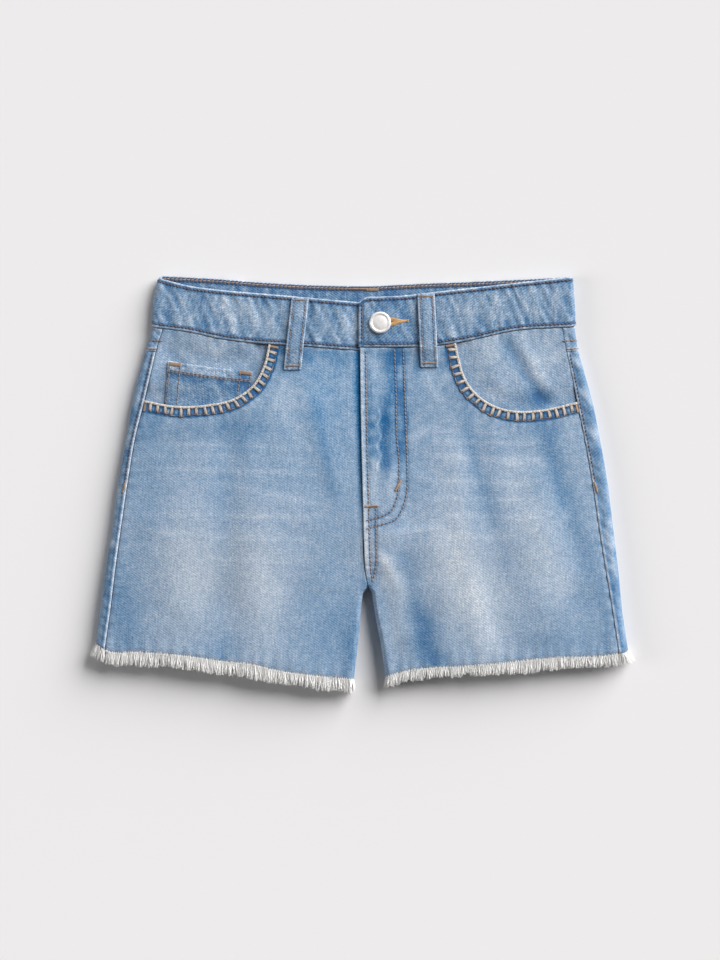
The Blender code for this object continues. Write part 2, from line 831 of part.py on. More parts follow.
def button(finish_material):
    """Shank button: a turned cap with a raised rim, and a neck down through the underlap."""
    seat = front(*BUTTON, band_out(BUTTON[0]) + 2.0 * SEAM).z
    foot = front(*BUTTON, underlap_out(BUTTON[0]) - BAND).z
    profile = [
        (0.0, seat + 2.5),
        (4.6, seat + 2.3),
        (6.0, seat + 1.8),
        (6.9, seat + 2.4),
        (7.8, seat + 2.4),
        (8.4, seat + 1.8),
        (BUTTON_RADIUS, seat + 0.9),
        (8.0, seat),
        (NECK_RADIUS, seat),
        (NECK_RADIUS, foot),
        (0.0, foot),
    ]
    mesh = bmesh.new()
    verts = [mesh.verts.new(Vector((radius, 0.0, z)) * MM) for radius, z in profile]
    for a, b in zip(verts, verts[1:]):
        mesh.edges.new((a, b))
    made = finish("button", mesh, finish_material)
    made.location = Vector((BUTTON[0], BUTTON[1], 0.0)) * MM
    turned = made.modifiers.new("turned", "SCREW")
    turned.steps = 20
    turned.render_steps = 20
    turned.use_merge_vertices = True
    turned.merge_threshold = 0.00001
    return made


def cutter(name, made):
    made.name = name
    made.hide_render = True
    made.display_type = "WIRE"
    for home in made.users_collection:
        home.objects.unlink(made)
    tools.objects.link(made)
    return made


def cut_buttonhole(band):
    """A keyhole through the tab, and a round hole for the neck through the underlap."""
    x, y = BUTTON
    high = front(x, y, band_out(x)).z
    split = front(x, y, underlap_out(x)).z + 0.1
    bpy.ops.mesh.primitive_cylinder_add(
        vertices=12, radius=EYELET_RADIUS * MM, depth=12.0 * MM, location=Vector((x, y, high - 4.0)) * MM
    )
    eyelet = cutter("eyelet_cutter", bpy.context.active_object)
    bpy.ops.mesh.primitive_cube_add(size=1.0)
    slot = cutter("slot_cutter", bpy.context.active_object)
    for vert in slot.data.vertices:
        vert.co = Vector(
            (
                (vert.co.x + 0.5) * SLOT_LENGTH * MM,
                vert.co.y * SLOT_WIDTH * MM,
                mix(split, high + 2.0, vert.co.z + 0.5) * MM,
            )
        )
    slot.location = Vector((x, y, 0.0)) * MM
    slot.rotation_euler.z = SLOT_TURN
    for tool in (eyelet, slot):
        cut = band.modifiers.new(tool.name, "BOOLEAN")
        cut.operation = "DIFFERENCE"
        cut.object = tool


# Frayed hems


def fringe(name, side, cloth, locks, seed, finish_material):
    """A narrow woven strip just outside the hem, with a row of loose locks growing from it."""
    columns, _, place = cloth
    chance = random.Random(seed)
    seams = (hem_corner(side).x, inner_corner(side).x)

    def strip(a, b, out):
        """Along the panel's own hem, from one of its points to the next."""
        half_steps = round(a * 2 * locks)
        at = (half_steps // 2 + half_steps % 2 * LOCK_SHARE) / locks * columns
        step = min(int(at), columns - 1)
        edge = mix(place(step / columns, 0.0, out), place((step + 1) / columns, 0.0, out), at - step)
        return edge - Vector((0.0, SEAM + STRIP_WIDTH * (1.0 - b), 0.0))

    mesh, roots = sheet(2 * locks, 1, strip, -STRIP_SINK, STRIP_CLOTH)
    for lock in bmesh.ops.extrude_discrete_faces(mesh, faces=roots[::2])["faces"]:
        middle = lock.calc_center_median()
        x, _, z = middle / MM
        free = ramp(min(abs(x - seam) for seam in seams), 1.5, 9.0)
        lean = side * LOCK_LEAN * ramp(z, 0.5, 3.0) * ramp(side * x, 203.0, 208.0)
        way = Vector(
            (
                lean + chance.uniform(-LOCK_SWAY, LOCK_SWAY) * free,
                -chance.uniform(*LOCK_LENGTH),
                -chance.uniform(0.2, 1.0) * LOCK_DROOP * free * ramp(z, 3.0, 7.0),
            )
        )
        for vert in lock.verts:
            vert.co = middle + (vert.co - middle) * LOCK_TIP + way * MM
    face_out(mesh)
    return finish(name, mesh, finish_material)


def build():
    for old in list(bpy.data.objects):
        bpy.data.objects.remove(old)
    bpy.context.scene.collection.children.link(collection)
    bpy.context.scene.collection.children.link(tools)
    denim = material("washed_denim", (0.26, 0.42, 0.66), 0.9)
    light = material("faded_denim", (0.36, 0.53, 0.74), 0.9)
    cotton = material("frayed_cotton", (0.84, 0.83, 0.79), 0.95)
    tape = material("zip_tape", (0.33, 0.45, 0.6), 0.85)
    metal = material("brushed_metal", (0.74, 0.73, 0.71), 0.32, 1.0)

    for side, hand in ((-1, "right"), (1, "left")):
        yoke(f"yoke_{hand}", side, denim)
        facing(f"pocket_facing_{hand}", side, denim)
        for half, cloth, locks, finish_material in (
            ("front", front_cloth(side), FRONT_LOCKS, light),
            ("back", back_cloth(side), BACK_LOCKS, denim),
        ):
            columns, rows, place = cloth
            piece(f"{half}_{hand}", columns, rows, place, 0.0, DENIM, finish_material)
            fringe(f"fringe_{half}_{hand}", side, cloth, locks, locks + side, cotton)
    coin_pocket(denim)
    closed_zip(tape)
    for name, (top, foot) in FRONT_LOOPS.items():
        front_loop(name, top, foot, light)
    for name, centre in BACK_LOOPS.items():
        back_loop(name, centre, denim)
    cut_buttonhole(waistband(denim))
    button(metal)


build()
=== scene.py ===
import math
from functools import partial

import bpy
import numpy as np
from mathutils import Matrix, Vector


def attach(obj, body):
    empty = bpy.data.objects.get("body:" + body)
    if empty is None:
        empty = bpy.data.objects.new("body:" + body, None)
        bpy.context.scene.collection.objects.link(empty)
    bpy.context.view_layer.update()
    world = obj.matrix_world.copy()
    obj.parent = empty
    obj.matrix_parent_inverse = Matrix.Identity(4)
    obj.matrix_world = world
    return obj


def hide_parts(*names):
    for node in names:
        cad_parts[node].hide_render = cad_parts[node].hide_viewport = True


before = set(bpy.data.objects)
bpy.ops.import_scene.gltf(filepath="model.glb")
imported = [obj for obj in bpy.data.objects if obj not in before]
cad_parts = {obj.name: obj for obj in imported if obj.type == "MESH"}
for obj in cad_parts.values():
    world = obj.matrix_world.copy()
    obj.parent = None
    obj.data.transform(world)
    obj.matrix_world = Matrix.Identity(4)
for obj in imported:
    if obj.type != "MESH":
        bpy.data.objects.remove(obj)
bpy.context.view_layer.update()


# Front panels. Two pieces of washed twill denim, sewn to the backs down the sides and the
# inner legs and to each other below the zip. The left one laps over the right one at the
# fly, and a curved pocket mouth is cut out of each one's upper outer corner.

MM = 0.001  # every size is in millimetres; x and y are in the laid out plane, z is up
HANDS = {-1: "right", 1: "left"}  # the wearer's side, by the sign of x
DENIM = 1.2
SEAM = 0.3
BAND_SEAM = 0.45
BAND_LIFT = 2.8  # the backs rise by this on to the waistband, between these heights
LIFT_START = 95
LIFT_END = 118
CROTCH = (6.3, -83.3)


def table(names, *rows):
    """Rows of numbers, with a name for each column."""
    return np.array(list(rows), dtype=[(name, float) for name in names.split()])


# Side folds and side seams at each height
OUTLINE = table(
    "y fold_right seam_right seam_left fold_left",
    (-165, -214.6, -205.6, 208, 216.6), (-128.4, -209.4, -200.9, 203.4, 211.7),
    (-104.7, -206.6, -197.5, 199.8, 208.2), (-69.1, -201.5, -193.2, 194, 204.6),
    (-33.6, -195.9, -188.3, 188.4, 200.3), (2, -191.2, -183.1, 183.2, 195.9),
    (37.5, -184.9, -177.1, 176.8, 189.6), (61.2, -180.9, -171.2, 172, 184.9),
    (84.9, -175.4, -165.6, 167.3, 178.5), (108.6, -168.3, -159.9, 162.3, 172.2),
    (123, -164.1, -155.4, 159.8, 170.3), (144.2, -162.5, -153, 158, 169.2),
    (161.6, -158.6, -150, 157, 167.3),
)
INNER_LEG = table(
    "y right left",
    (-165, -5.4, 20.6), (-152.1, -4.3, 19.8), (-128.4, -1.6, 16.6), (-104.7, 0.6, 11.9),
    (-92.8, 1.8, 10), (-86.5, 3.2, 8.9), (-83.3, 6.2, 6.4),
)
PUFF = table(
    "y top crown",
    (-165, 14.2, 2.2), (-80, 13, 2.6), (0, 11.5, 2.6), (60, 10.2, 1.8), (118, 9.2, 0.6), (165, 8.9, 0.3),
)
HEM_RIGHT = table(
    "x y",
    (-214, -127.4), (-208.8, -127.8), (-201.1, -132.2), (-174.9, -133.9), (-139.8, -136.5),
    (-106.7, -141.2), (-85.5, -143.4), (-67.9, -147.7), (-36.3, -152.3), (-4.3, -155.5),
)
HEM_LEFT = table(
    "x y",
    (19.6, -153.9), (33.2, -149.5), (54.2, -146.4), (82.2, -145), (110.6, -142.5),
    (152.9, -138.3), (195.1, -136.5), (212.2, -133.9), (217, -133),
)
BAND_RIGHT = table(
    "x top bottom",
    (-163, 162.8, 122.8), (-134.3, 155.5, 118.9), (-109.8, 152.3, 113.6), (-82.2, 149.8, 110.2),
    (-56.1, 147.6, 108.6), (-42.7, 146.4, 107.7), (-3.2, 143, 104.7), (24, 142.2, 104),
)
BAND_LEFT = table(
    "x top bottom",
    (-1, 142.4, 107), (2, 144.9, 107), (15.8, 146.9, 107), (31.6, 147.6, 107),
    (63.2, 151.2, 108.6), (91.6, 154.3, 113.5), (117.7, 157.3, 119.4), (168, 162.8, 123.2),
)
FLY_EDGE = table(
    "y x", (-83.3, 6.3), (-71.5, 4.3), (-47, 2.9), (-22.5, 2.3), (1.2, 1.6), (33.6, 0.8), (107, -0.3)
)
MOUTH = {
    -1: [(-143.8, 60.4), (-120.9, 61.5), (-98.2, 67.1), (-84.5, 77.4), (-76.3, 92.5)],
    1: [(141.4, 57.3), (125.6, 56.5), (112.7, 58.5), (99.5, 64.4), (89.1, 73.5), (82.6, 84.1), (78.6, 97.2)],
}
MOUTH_SIDE_Y = {-1: 64.9, 1: 63.7}
MOUTH_BAND_X = {-1: -72.5, 1: 76}
FLY_OVERLAP = 6
FLY_SEAM = 0.5
FLY_RAISE = 1.3
UNDER_DIP = 0.3
TIGHT = 0.5  # width of the roll over the inner leg, as a share of its height
RAISE_STOP = -58
RAISE_FADE = 22

# Large soft folds: a ridge or trough along a line, with its half width and height
CREASE = "x1 y1 x2 y2 half_width height"
FOLDS = table(
    CREASE,
    (72.7, 33.6, 83, -45, 13, 1), (83, -45, 101, -140, 14, 1.2), (88.5, 33.6, 107.4, -45.4, 11, -0.8),
    (145, 10, 150, -110, 22, 1), (151.7, 17.8, 173.8, -61, 10, -0.8), (47.4, -61, 60, -145, 13, -1.3),
    (24, -64, 38, -130, 9, 0.7), (-137, -20, -137, -130, 20, 1), (-74, -20, -74, -140, 22, 1.2),
    (-104, 36, -104, -130, 12, -1.1), (-44, 81, -19, -14, 10, 0.7), (18, -48, 34, -92, 7, 0.3),
)


def ramp(value, start, end):
    """0 before start, 1 after end, smooth between."""
    t = np.clip((value - start) / (end - start), 0, 1)
    return t * t * (3 - 2 * t)


def mix(a, b, share):
    return a + (b - a) * share


def bell(distance, reach):
    """1 at no distance, soft, and almost 0 from twice the reach."""
    return np.exp(-((distance / reach) ** 2))


def patch(x, y, middle_x, middle_y, reach_x, reach_y):
    """1 in the middle of a soft oval patch, almost 0 from twice its reach."""
    return np.exp(-(((x - middle_x) / reach_x) ** 2) - ((y - middle_y) / reach_y) ** 2)


def joined(*columns):
    return np.stack(columns, -1)


def unit(vectors):
    return vectors / np.linalg.norm(vectors, axis=-1)[..., None]


def curve(rows, column):
    """A smooth curve through a column over the table's first one, straight past its ends."""
    knots, values = rows[rows.dtype.names[0]], rows[column]
    slopes = np.gradient(values, knots)

    def value(at):
        inside = np.clip(at, knots[0], knots[-1])
        i = np.clip(np.searchsorted(knots, inside) - 1, 0, len(knots) - 2)
        width = knots[i + 1] - knots[i]
        t = (inside - knots[i]) / width
        s = 1 - t
        start = (1 + 2 * t) * s * s * values[i] + t * s * s * width * slopes[i]
        end = t * t * (3 - 2 * t) * values[i + 1] - t * t * s * width * slopes[i + 1]
        return start + end + np.where(at < inside, slopes[0], slopes[-1]) * (at - inside)

    return value


def by_side(right, left):
    """One curve of the two, by the side each point is on."""
    return lambda side, at: np.where(np.asarray(side) < 0, right(at), left(at))


fold_x = by_side(curve(OUTLINE, "fold_right"), curve(OUTLINE, "fold_left"))
seam_x = by_side(curve(OUTLINE, "seam_right"), curve(OUTLINE, "seam_left"))
inner_x = by_side(curve(INNER_LEG, "right"), curve(INNER_LEG, "left"))
hem_y = by_side(curve(HEM_RIGHT, "y"), curve(HEM_LEFT, "y"))
band_top = by_side(curve(BAND_RIGHT, "top"), curve(BAND_LEFT, "top"))
band_bottom = by_side(curve(BAND_RIGHT, "bottom"), curve(BAND_LEFT, "bottom"))
top_height = curve(PUFF, "top")
crown_height = curve(PUFF, "crown")
fly_x = curve(FLY_EDGE, "x")


def clouds(u, v, size, seed):
    """Smooth random values from -1 to 1 that change over about `size` millimetres."""
    count = 64
    lattice = np.random.default_rng(seed).uniform(-1, 1, (count, count))
    across, up = np.floor(u / size).astype(int), np.floor(v / size).astype(int)
    fu, fv = ramp(u / size - across, 0, 1), ramp(v / size - up, 0, 1)
    a, b, c, d = across % count, (across + 1) % count, up % count, (up + 1) % count
    return mix(mix(lattice[a, c], lattice[b, c], fu), mix(lattice[a, d], lattice[b, d], fu), fv)


def reaches(line):
    """Length along a line from its first point to each."""
    return np.concatenate([[0.0], np.cumsum(np.linalg.norm(np.diff(line, axis=0), axis=1))])


def points_at(line, places, at):
    """Points between those of a line, whose own places are given."""
    return joined(*(np.interp(at, places, line[:, k]) for k in (0, 1)))


def nearest(path, x, y):
    """Distance from a line of points, positive to its left, and the length along it there."""
    best = np.full(np.shape(x), np.inf)
    signed, reach = np.zeros_like(best), np.zeros_like(best)
    done = 0.0
    for (x1, y1), (x2, y2) in zip(path[:-1], path[1:]):
        dx, dy = x2 - x1, y2 - y1
        length = math.hypot(dx, dy)
        share = np.clip(((x - x1) * dx + (y - y1) * dy) / length**2, 0, 1)
        gap_x, gap_y = x - x1 - share * dx, y - y1 - share * dy
        gap = np.hypot(gap_x, gap_y)
        closer = gap < best
        best = np.where(closer, gap, best)
        signed = np.where(closer, np.where(dx * gap_y - dy * gap_x > 0, gap, -gap), signed)
        reach = np.where(closer, done + share * length, reach)
        done += length
    return signed, reach


def layers(y):
    """Radius and middle height of the side fold at y."""
    under = BAND_LIFT * ramp(y, LIFT_START, LIFT_END)
    over = top_height(y)
    return (over - under) / 2, (over + under) / 2


def to_notch(x, y):
    """Distance and direction to the gap between the legs."""
    reach = np.maximum(np.hypot(CROTCH[0] - x, CROTCH[1] - y), 1e-9)
    way = joined((CROTCH[0] - x) / reach, (CROTCH[1] - y) / reach)
    side = np.where(x < CROTCH[0], -1, 1)
    below = y < CROTCH[1]
    beside = np.maximum(side * (x - inner_x(side, y)), 0)
    level_way = joined(-side, np.zeros_like(side))
    return np.where(below, beside, reach), np.where(below[..., None], level_way, way)


def rolled(x, y, out, radius):
    """Place `out` outside the cloth where it rolls over an edge, and the roll's share of its height."""
    distance, way = to_notch(x, y)
    cosine = np.clip(1 - distance / (TIGHT * radius), 0, 1)
    rise = np.maximum((radius + out) * np.sqrt(1 - cosine * cosine), SEAM / 2)
    return x + way[..., 0] * out * cosine, y + way[..., 1] * out * cosine, rise


def ridges(x, y, creases):
    """Height of folds at a point, each softly ended."""
    height = 0
    for fold in creases:
        dx, dy = fold["x2"] - fold["x1"], fold["y2"] - fold["y1"]
        share = ((x - fold["x1"]) * dx + (y - fold["y1"]) * dy) / (dx * dx + dy * dy)
        ends = ramp(share, -0.25, 0.2) * (1 - ramp(share, 0.8, 1.25))
        across = np.hypot(x - fold["x1"] - share * dx, y - fold["y1"] - share * dy)
        height = height + fold["height"] * ends * bell(across, fold["half_width"])
    return height


def relief(x, y):
    """Crown, large folds and slight waves of the front above its side folds."""
    radius = layers(y)[0]
    to_fold = np.minimum(x - fold_x(-1, y), fold_x(1, y) - x) - radius
    from_notch = to_notch(x, y)[0] - radius
    inward = ramp(to_fold, 0, 60) * ramp(from_notch, 0, 45)
    shallow = ramp(to_fold, 0, 16) * ramp(from_notch, 0, 14)
    waves = 0.45 * clouds(x, y, 34, 3) + 0.22 * clouds(x, y, 15, 4)
    calm = 1 - 0.8 * ramp(y, 92, 112)
    return crown_height(y) * inward + (ridges(x, y, FOLDS) + waves * calm) * shallow


def front(x, y, out=0.0):
    """Points `out` outside the front's outer face."""
    radius, middle = layers(y)
    place_x, place_y, rise = rolled(x, y, out, radius)
    return joined(place_x, place_y, middle + rise + relief(x, y))


def smooth_line(points, count):
    """Even points along a smooth curve through a few."""
    points = np.array(points, float)
    rows = table("reach x y", *zip(reaches(points), *points.T))
    at = np.linspace(0, rows["reach"][-1], count)
    return joined(curve(rows, "x")(at), curve(rows, "y")(at))


def on_line(line, share):
    """Points at a share of the way along a line of even points."""
    return points_at(line, np.arange(len(line)), share * (len(line) - 1))


def coons(u, v, bottom, top, outer, inner):
    """Points of the patch between four edges, each a function of its own share."""
    u1, v1 = u[:, None], v[:, None]
    zero, one = np.zeros_like(u), np.ones_like(u)
    across = mix(bottom(u), top(u), v1)
    along = mix(outer(v), inner(v), u1)
    corners = mix(mix(bottom(zero), bottom(one), u1), mix(top(zero), top(one), u1), v1)
    return across + along - corners


def stops(count, size, rim):
    """Shares along a piece, bunched within the rounded rim at both ends."""
    close = np.array([0.0, 0.12, 0.4]) * rim / size
    return np.concatenate([close, np.linspace(rim / size, 1 - rim / size, count), 1 - close[::-1]])


def placed(name, data):
    """A new object of the scene."""
    made = bpy.data.objects.new(name, data)
    bpy.context.scene.collection.objects.link(made)
    return made


def object_of(name, points, faces, finish, marks=()):
    """A smooth object from points in millimetres, with a value or vector for each point."""
    data = bpy.data.meshes.new(name)
    data.from_pydata((points * MM).tolist(), [], faces if isinstance(faces, list) else faces.tolist())
    for mark, values in dict(marks).items():
        kind, field = ("FLOAT_VECTOR", "vector") if values.ndim == 2 else ("FLOAT", "value")
        attribute = data.attributes.new(mark, kind, "POINT")
        attribute.data.foreach_set(field, values.astype(np.float32).ravel())
    data.shade_smooth()
    data.materials.append(finish)
    made = placed(name, data)
    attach(made, "root")
    return made


RIM_ROUND = 0.46  # radius of a cloth's rounded edge, as a share of its thickness


def cloth(
    name, replaced, across, along, rim, lay, face, thickness, wash, finish, bare=None
):
    """A thin closed shell of cloth with rounded edges, shown in place of a solid.

    across and along give the number of columns and rows and about how long they are. lay
    gives the cloth's own coordinates for shares across and along, face the points in space
    for those, wash how faded the cloth is there, with painted shade and painted light in
    places, and bare how grey its blue has worn.
    """
    across, along = stops(*across, rim), stops(*along, rim)
    a, b = (grid.ravel() for grid in np.meshgrid(across, along))
    shape = (len(along), len(across))
    u, v = lay(a, b)
    points = face(u, v, 0.0).reshape(*shape, 3)
    edge = np.full(shape, np.inf)
    for axis in (0, 1):
        steps = np.linalg.norm(np.diff(points, axis=axis), axis=2)
        reach = np.concatenate([np.zeros_like(steps.take([0], axis)), np.cumsum(steps, axis)], axis)
        edge = np.minimum(edge, np.minimum(reach, reach.take([-1], axis) - reach))
    edge = edge.ravel()
    radius = RIM_ROUND * thickness
    inside = np.clip(radius - edge, 0, radius)
    roll = radius - np.sqrt(radius**2 - inside**2)
    points = np.concatenate([face(u, v, -roll), face(u, v, roll - thickness)])
    count = len(u)
    index = np.arange(count).reshape(shape)
    quads = joined(index[:-1, :-1], index[:-1, 1:], index[1:, 1:], index[1:, :-1]).reshape(-1, 4)
    border = np.concatenate([index[0, :-1], index[:-1, -1], index[-1, :0:-1], index[:0:-1, 0]])
    after = np.roll(border, -1)
    sides = joined(after, border, border + count, after + count)
    faces = np.concatenate([quads, quads[:, ::-1] + count, sides])
    first, second, third, fourth = points[faces].transpose(1, 0, 2)
    volume = np.sum(first * (np.cross(second, third) + np.cross(third, fourth)))
    if volume < 0:
        faces = faces[:, ::-1]
    marks = {
        "cloth": joined(np.tile(u, 2), np.tile(v, 2), np.zeros(2 * count)),
        "wash": np.tile(wash(u, v, edge), 2),
        "wrong_side": np.repeat([0, 1], count),
    }
    if bare:
        marks["bare"] = np.tile(bare(u, v), 2)
    made = object_of(name, points, faces, finish, marks)
    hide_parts(replaced)
    return made


def node(tree, kind, inputs=None, **settings):
    """One shader node, its inputs set to values or joined to sockets."""
    made = tree.nodes.new("ShaderNode" + kind)
    for name, value in settings.items():
        setattr(made, name, value)
    for name, value in (inputs or {}).items():
        if isinstance(value, bpy.types.NodeSocket):
            tree.links.new(value, made.inputs[name])
        else:
            made.inputs[name].default_value = value
    return made


def blended(tree, *parts):
    """A sum of values, each times its weight."""
    total = 0.0
    for value, weight in parts:
        total = node(tree, "Math", {0: value, 1: weight, 2: total}, operation="MULTIPLY_ADD").outputs[0]
    return total


def raised(tree, value, amount, clamp=False):
    return node(tree, "Math", {0: value, 1: amount}, operation="ADD", use_clamp=clamp).outputs[0]


def grain(tree, place, stretch, detail=2.0, offset=0.0):
    """Noise around 0, with its own scale along each direction of the cloth."""
    moved = node(tree, "VectorMath", {0: place, 1: stretch, 2: (offset,) * 3}, operation="MULTIPLY_ADD")
    noise = node(tree, "TexNoise", {"Vector": moved.outputs[0], "Scale": 1.0, "Detail": detail})
    return raised(tree, noise.outputs[0], -0.5)


def ramp_of(tree, value, colours):
    made = node(tree, "ValToRGB", {"Fac": value})
    points = made.color_ramp.elements
    while len(points) < len(colours):
        points.new(0.5)
    for point, (position, colour) in zip(points, colours):
        point.position = position
        point.color = (*colour, 1.0)
    return made.outputs["Color"]


def finish_group(name, inputs, colour_and_height):
    """A group of nodes with named inputs that puts out a colour and a height."""
    group = bpy.data.node_groups.new(name, "ShaderNodeTree")
    for socket, kind in inputs.items():
        group.interface.new_socket(socket, in_out="INPUT", socket_type="NodeSocket" + kind)
    group.interface.new_socket("Colour", in_out="OUTPUT", socket_type="NodeSocketColor")
    group.interface.new_socket("Height", in_out="OUTPUT", socket_type="NodeSocketFloat")
    given = group.nodes.new("NodeGroupInput").outputs
    colour, height = colour_and_height(group, given)
    result = group.nodes.new("NodeGroupOutput")
    group.links.new(colour, result.inputs["Colour"])
    group.links.new(height, result.inputs["Height"])
    return group


def shaded(name, settings):
    """A new material with its shader's own settings, with its nodes and that shader."""
    made = bpy.data.materials.new(name)
    made.use_nodes = True
    shader = made.node_tree.nodes["Principled BSDF"]
    for setting, value in settings.items():
        shader.inputs[setting].default_value = value
    return made, made.node_tree, shader


def covered(tree, shader, colour, height, strength, depth):
    """Joins a colour and a bump of this depth to the shader."""
    tree.links.new(colour, shader.inputs["Base Color"])
    bump = node(tree, "Bump", {"Height": height, "Strength": strength, "Distance": depth * MM})
    tree.links.new(bump.outputs["Normal"], shader.inputs["Normal"])


# Blue warp threads over white weft: how the cloth looks from nearly unwashed to worn white
DENIM_SHADES = [
    (0.0, (0.040, 0.125, 0.275)),
    (0.25, (0.112, 0.218, 0.362)),
    (0.5, (0.230, 0.330, 0.462)),
    (0.8, (0.440, 0.518, 0.620)),
    (1.0, (0.700, 0.745, 0.790)),
]
WRONG_SIDE = (0.400, 0.460, 0.540, 1.0)
TWILL_TURN = math.radians(-57.0)
TWILL_LINE = 1.6  # distance between the diagonal lines
# The marks on the points and the group's sockets they feed
DENIM_MARKS = {"cloth": "Cloth", "wash": "Wash And Shade", "bare": "Bare", "wrong_side": "Wrong Side"}


def denim_nodes(group, given):
    """Right-hand twill: diagonal lines, uneven threads both ways, specks of white and cloudy wash, with the
    shade painted into the wash.
    """
    place = given["Cloth"]
    turned = node(group, "VectorRotate", {"Vector": place, "Angle": TWILL_TURN}, rotation_type="Z_AXIS")
    wobble = grain(group, place, (0.5, 0.25, 1.0), offset=9.0)
    shift = {0: wobble, 1: (0.5, 0.0, 0.0), 2: turned.outputs[0]}
    shifted = node(group, "VectorMath", shift, operation="MULTIPLY_ADD").outputs[0]
    waves = {"Vector": shifted, "Scale": 0.314 / TWILL_LINE}
    lines = node(group, "TexWave", waves, wave_type="BANDS", bands_direction="X")
    twill = raised(group, lines.outputs["Fac"], -0.5)
    warp = grain(group, place, (0.95, 0.10, 1.0))
    weft = grain(group, place, (0.09, 0.80, 1.0), offset=31.0)
    speck = grain(group, place, (0.62, 0.56, 1.0), detail=3.0, offset=57.0)
    mottle = grain(group, place, (0.26, 0.17, 1.0), detail=3.0, offset=71.0)
    cloud = grain(group, place, (0.09, 0.05, 1.0), detail=3.0, offset=83.0)
    patches = blended(group, (given["Wash And Shade"], 1.0), (mottle, 0.26), (cloud, 0.13))
    threads = blended(group, (twill, 0.11), (warp, 0.30), (weft, 0.20), (speck, 0.48))
    shade = blended(group, (patches, 1.0), (threads, given["Contrast"]))
    strength = blended(group, (given["Bare"], -0.32), (1.0, 1.0))
    blue = {"Saturation": strength, "Color": ramp_of(group, shade, DENIM_SHADES)}
    worn = node(group, "HueSaturation", blue).outputs["Color"]
    sides = {"Factor": given["Wrong Side"], "A": worn, "B": WRONG_SIDE}
    colour = node(group, "Mix", sides, data_type="RGBA").outputs["Result"]
    return colour, blended(group, (twill, 0.4), (warp, 0.5), (weft, 0.4), (speck, 0.9))


denim_inputs = dict.fromkeys(("Wash And Shade", "Bare", "Wrong Side", "Contrast"), "Float")
denim_twill = finish_group("Denim Twill", {**denim_inputs, "Cloth": "Vector"}, denim_nodes)


def denim_finish(name, bump, contrast):
    """Washed denim: matt, with a little fuzz, its threads more or less distinct."""
    fuzz = {"Roughness": 0.92, "Sheen Weight": 0.2, "Sheen Roughness": 0.5, "Specular IOR Level": 0.25}
    made, tree, shader = shaded(name, fuzz)
    inputs = {"Contrast": contrast}
    for mark, socket in DENIM_MARKS.items():
        inputs[socket] = node(tree, "Attribute", attribute_name=mark).outputs["Fac"]
    inputs["Cloth"] = inputs["Cloth"].node.outputs["Vector"]
    twill = node(tree, "Group", inputs, node_tree=denim_twill)
    covered(tree, shader, twill.outputs["Colour"], twill.outputs["Height"], bump, 0.15)
    return made


washed_denim = denim_finish("washed denim", 0.9, 1.2)


LEG_SHARE = 0.28  # share of the rows up the inner leg, over the crotch, then up the centre
CROTCH_SHARE = 0.05
ROLL_SHARE = 0.05  # share of the columns that roll over the inner leg
MOUTH_SHARE = 0.6  # share of the top edge's columns along the pocket mouth, then under the band
LAP_STARTS = (-46, -38)  # the fly's overlap grows from nothing between these heights
FLY_TOP = 106


def seam_point(side, y):
    return joined(seam_x(side, y), y)


def band_point(side, x, below=0):
    return joined(x, band_bottom(side, x) - BAND_SEAM - below)


def mouth_line(side):
    start, end = seam_point(side, MOUTH_SIDE_Y[side]), band_point(side, MOUTH_BAND_X[side])
    return smooth_line([start, *MOUTH[side], end], 121)


mouths = {side: mouth_line(side) for side in HANDS}


def from_mouth(side, x, y):
    """Distance from a pocket mouth and the length along it."""
    return nearest(mouths[side][::3], x, y)


def hem_corner(side, edge_x):
    """Where the hem meets the side seam or the inner leg."""
    y = -140
    for _ in range(5):
        y = float(hem_y(side, edge_x(side, y)))
    return float(edge_x(side, y)), y


def centre_edge_x(side, y):
    """The front's own edge above the crotch: edge to edge, with an overlap along the fly."""
    lap = FLY_OVERLAP * ramp(y, *LAP_STARTS) if side < 0 else 0
    return fly_x(y) + lap + side * FLY_SEAM / 2


def inner_rows(share, low, high):
    """Heights of the rows up a panel's inner edge, bunched over the crotch."""
    turn = np.clip((share - LEG_SHARE) / CROTCH_SHARE, 0, 1) * math.pi / 2
    rest = np.clip((share - LEG_SHARE - CROTCH_SHARE) / (1 - LEG_SHARE - CROTCH_SHARE), 0, 1)
    over = CROTCH[1] + TIGHT * layers(CROTCH[1])[0] * (1 - np.cos(turn))
    return np.where(share <= LEG_SHARE, mix(low, CROTCH[1], share / LEG_SHARE), mix(over, high, rest))


def front_lay(side):
    """Front panel from the side seam to the inner leg and the fly, its pocket mouth cut away."""
    line = mouths[side]
    low_outer, low_inner = hem_corner(side, seam_x), hem_corner(side, inner_x)
    band_x = float(centre_edge_x(side, FLY_TOP))
    top_y = band_point(side, band_x)[1]

    def bottom(u):
        x = mix(low_outer[0], low_inner[0], u)
        return joined(x, hem_y(side, x))

    def top(u):
        under_band = band_point(side, mix(line[-1, 0], band_x, (u - MOUTH_SHARE) / (1 - MOUTH_SHARE)))
        on_mouth = on_line(line, np.minimum(u / MOUTH_SHARE, 1))
        return np.where((u <= MOUTH_SHARE)[:, None], on_mouth, under_band)

    def outer(v):
        return seam_point(side, mix(low_outer[1], line[0, 1], v))

    def inner(v):
        y = inner_rows(v, low_inner[1], top_y)
        return joined(np.where(v <= LEG_SHARE, inner_x(side, y), centre_edge_x(side, y)), y)

    def lay(a, b):
        edge = inner(b)
        width = np.abs(edge[:, 0] - outer(b)[:, 0])
        radius = TIGHT * layers(edge[:, 1])[0]
        flat = 1 - ROLL_SHARE
        turn = np.clip((a - flat) / ROLL_SHARE, 0, 1) * math.pi / 2
        u = np.where(a <= flat, a / flat * (1 - radius / width), 1 - radius * (1 - np.sin(turn)) / width)
        return coons(u, b, bottom, top, outer, inner).T

    return lay


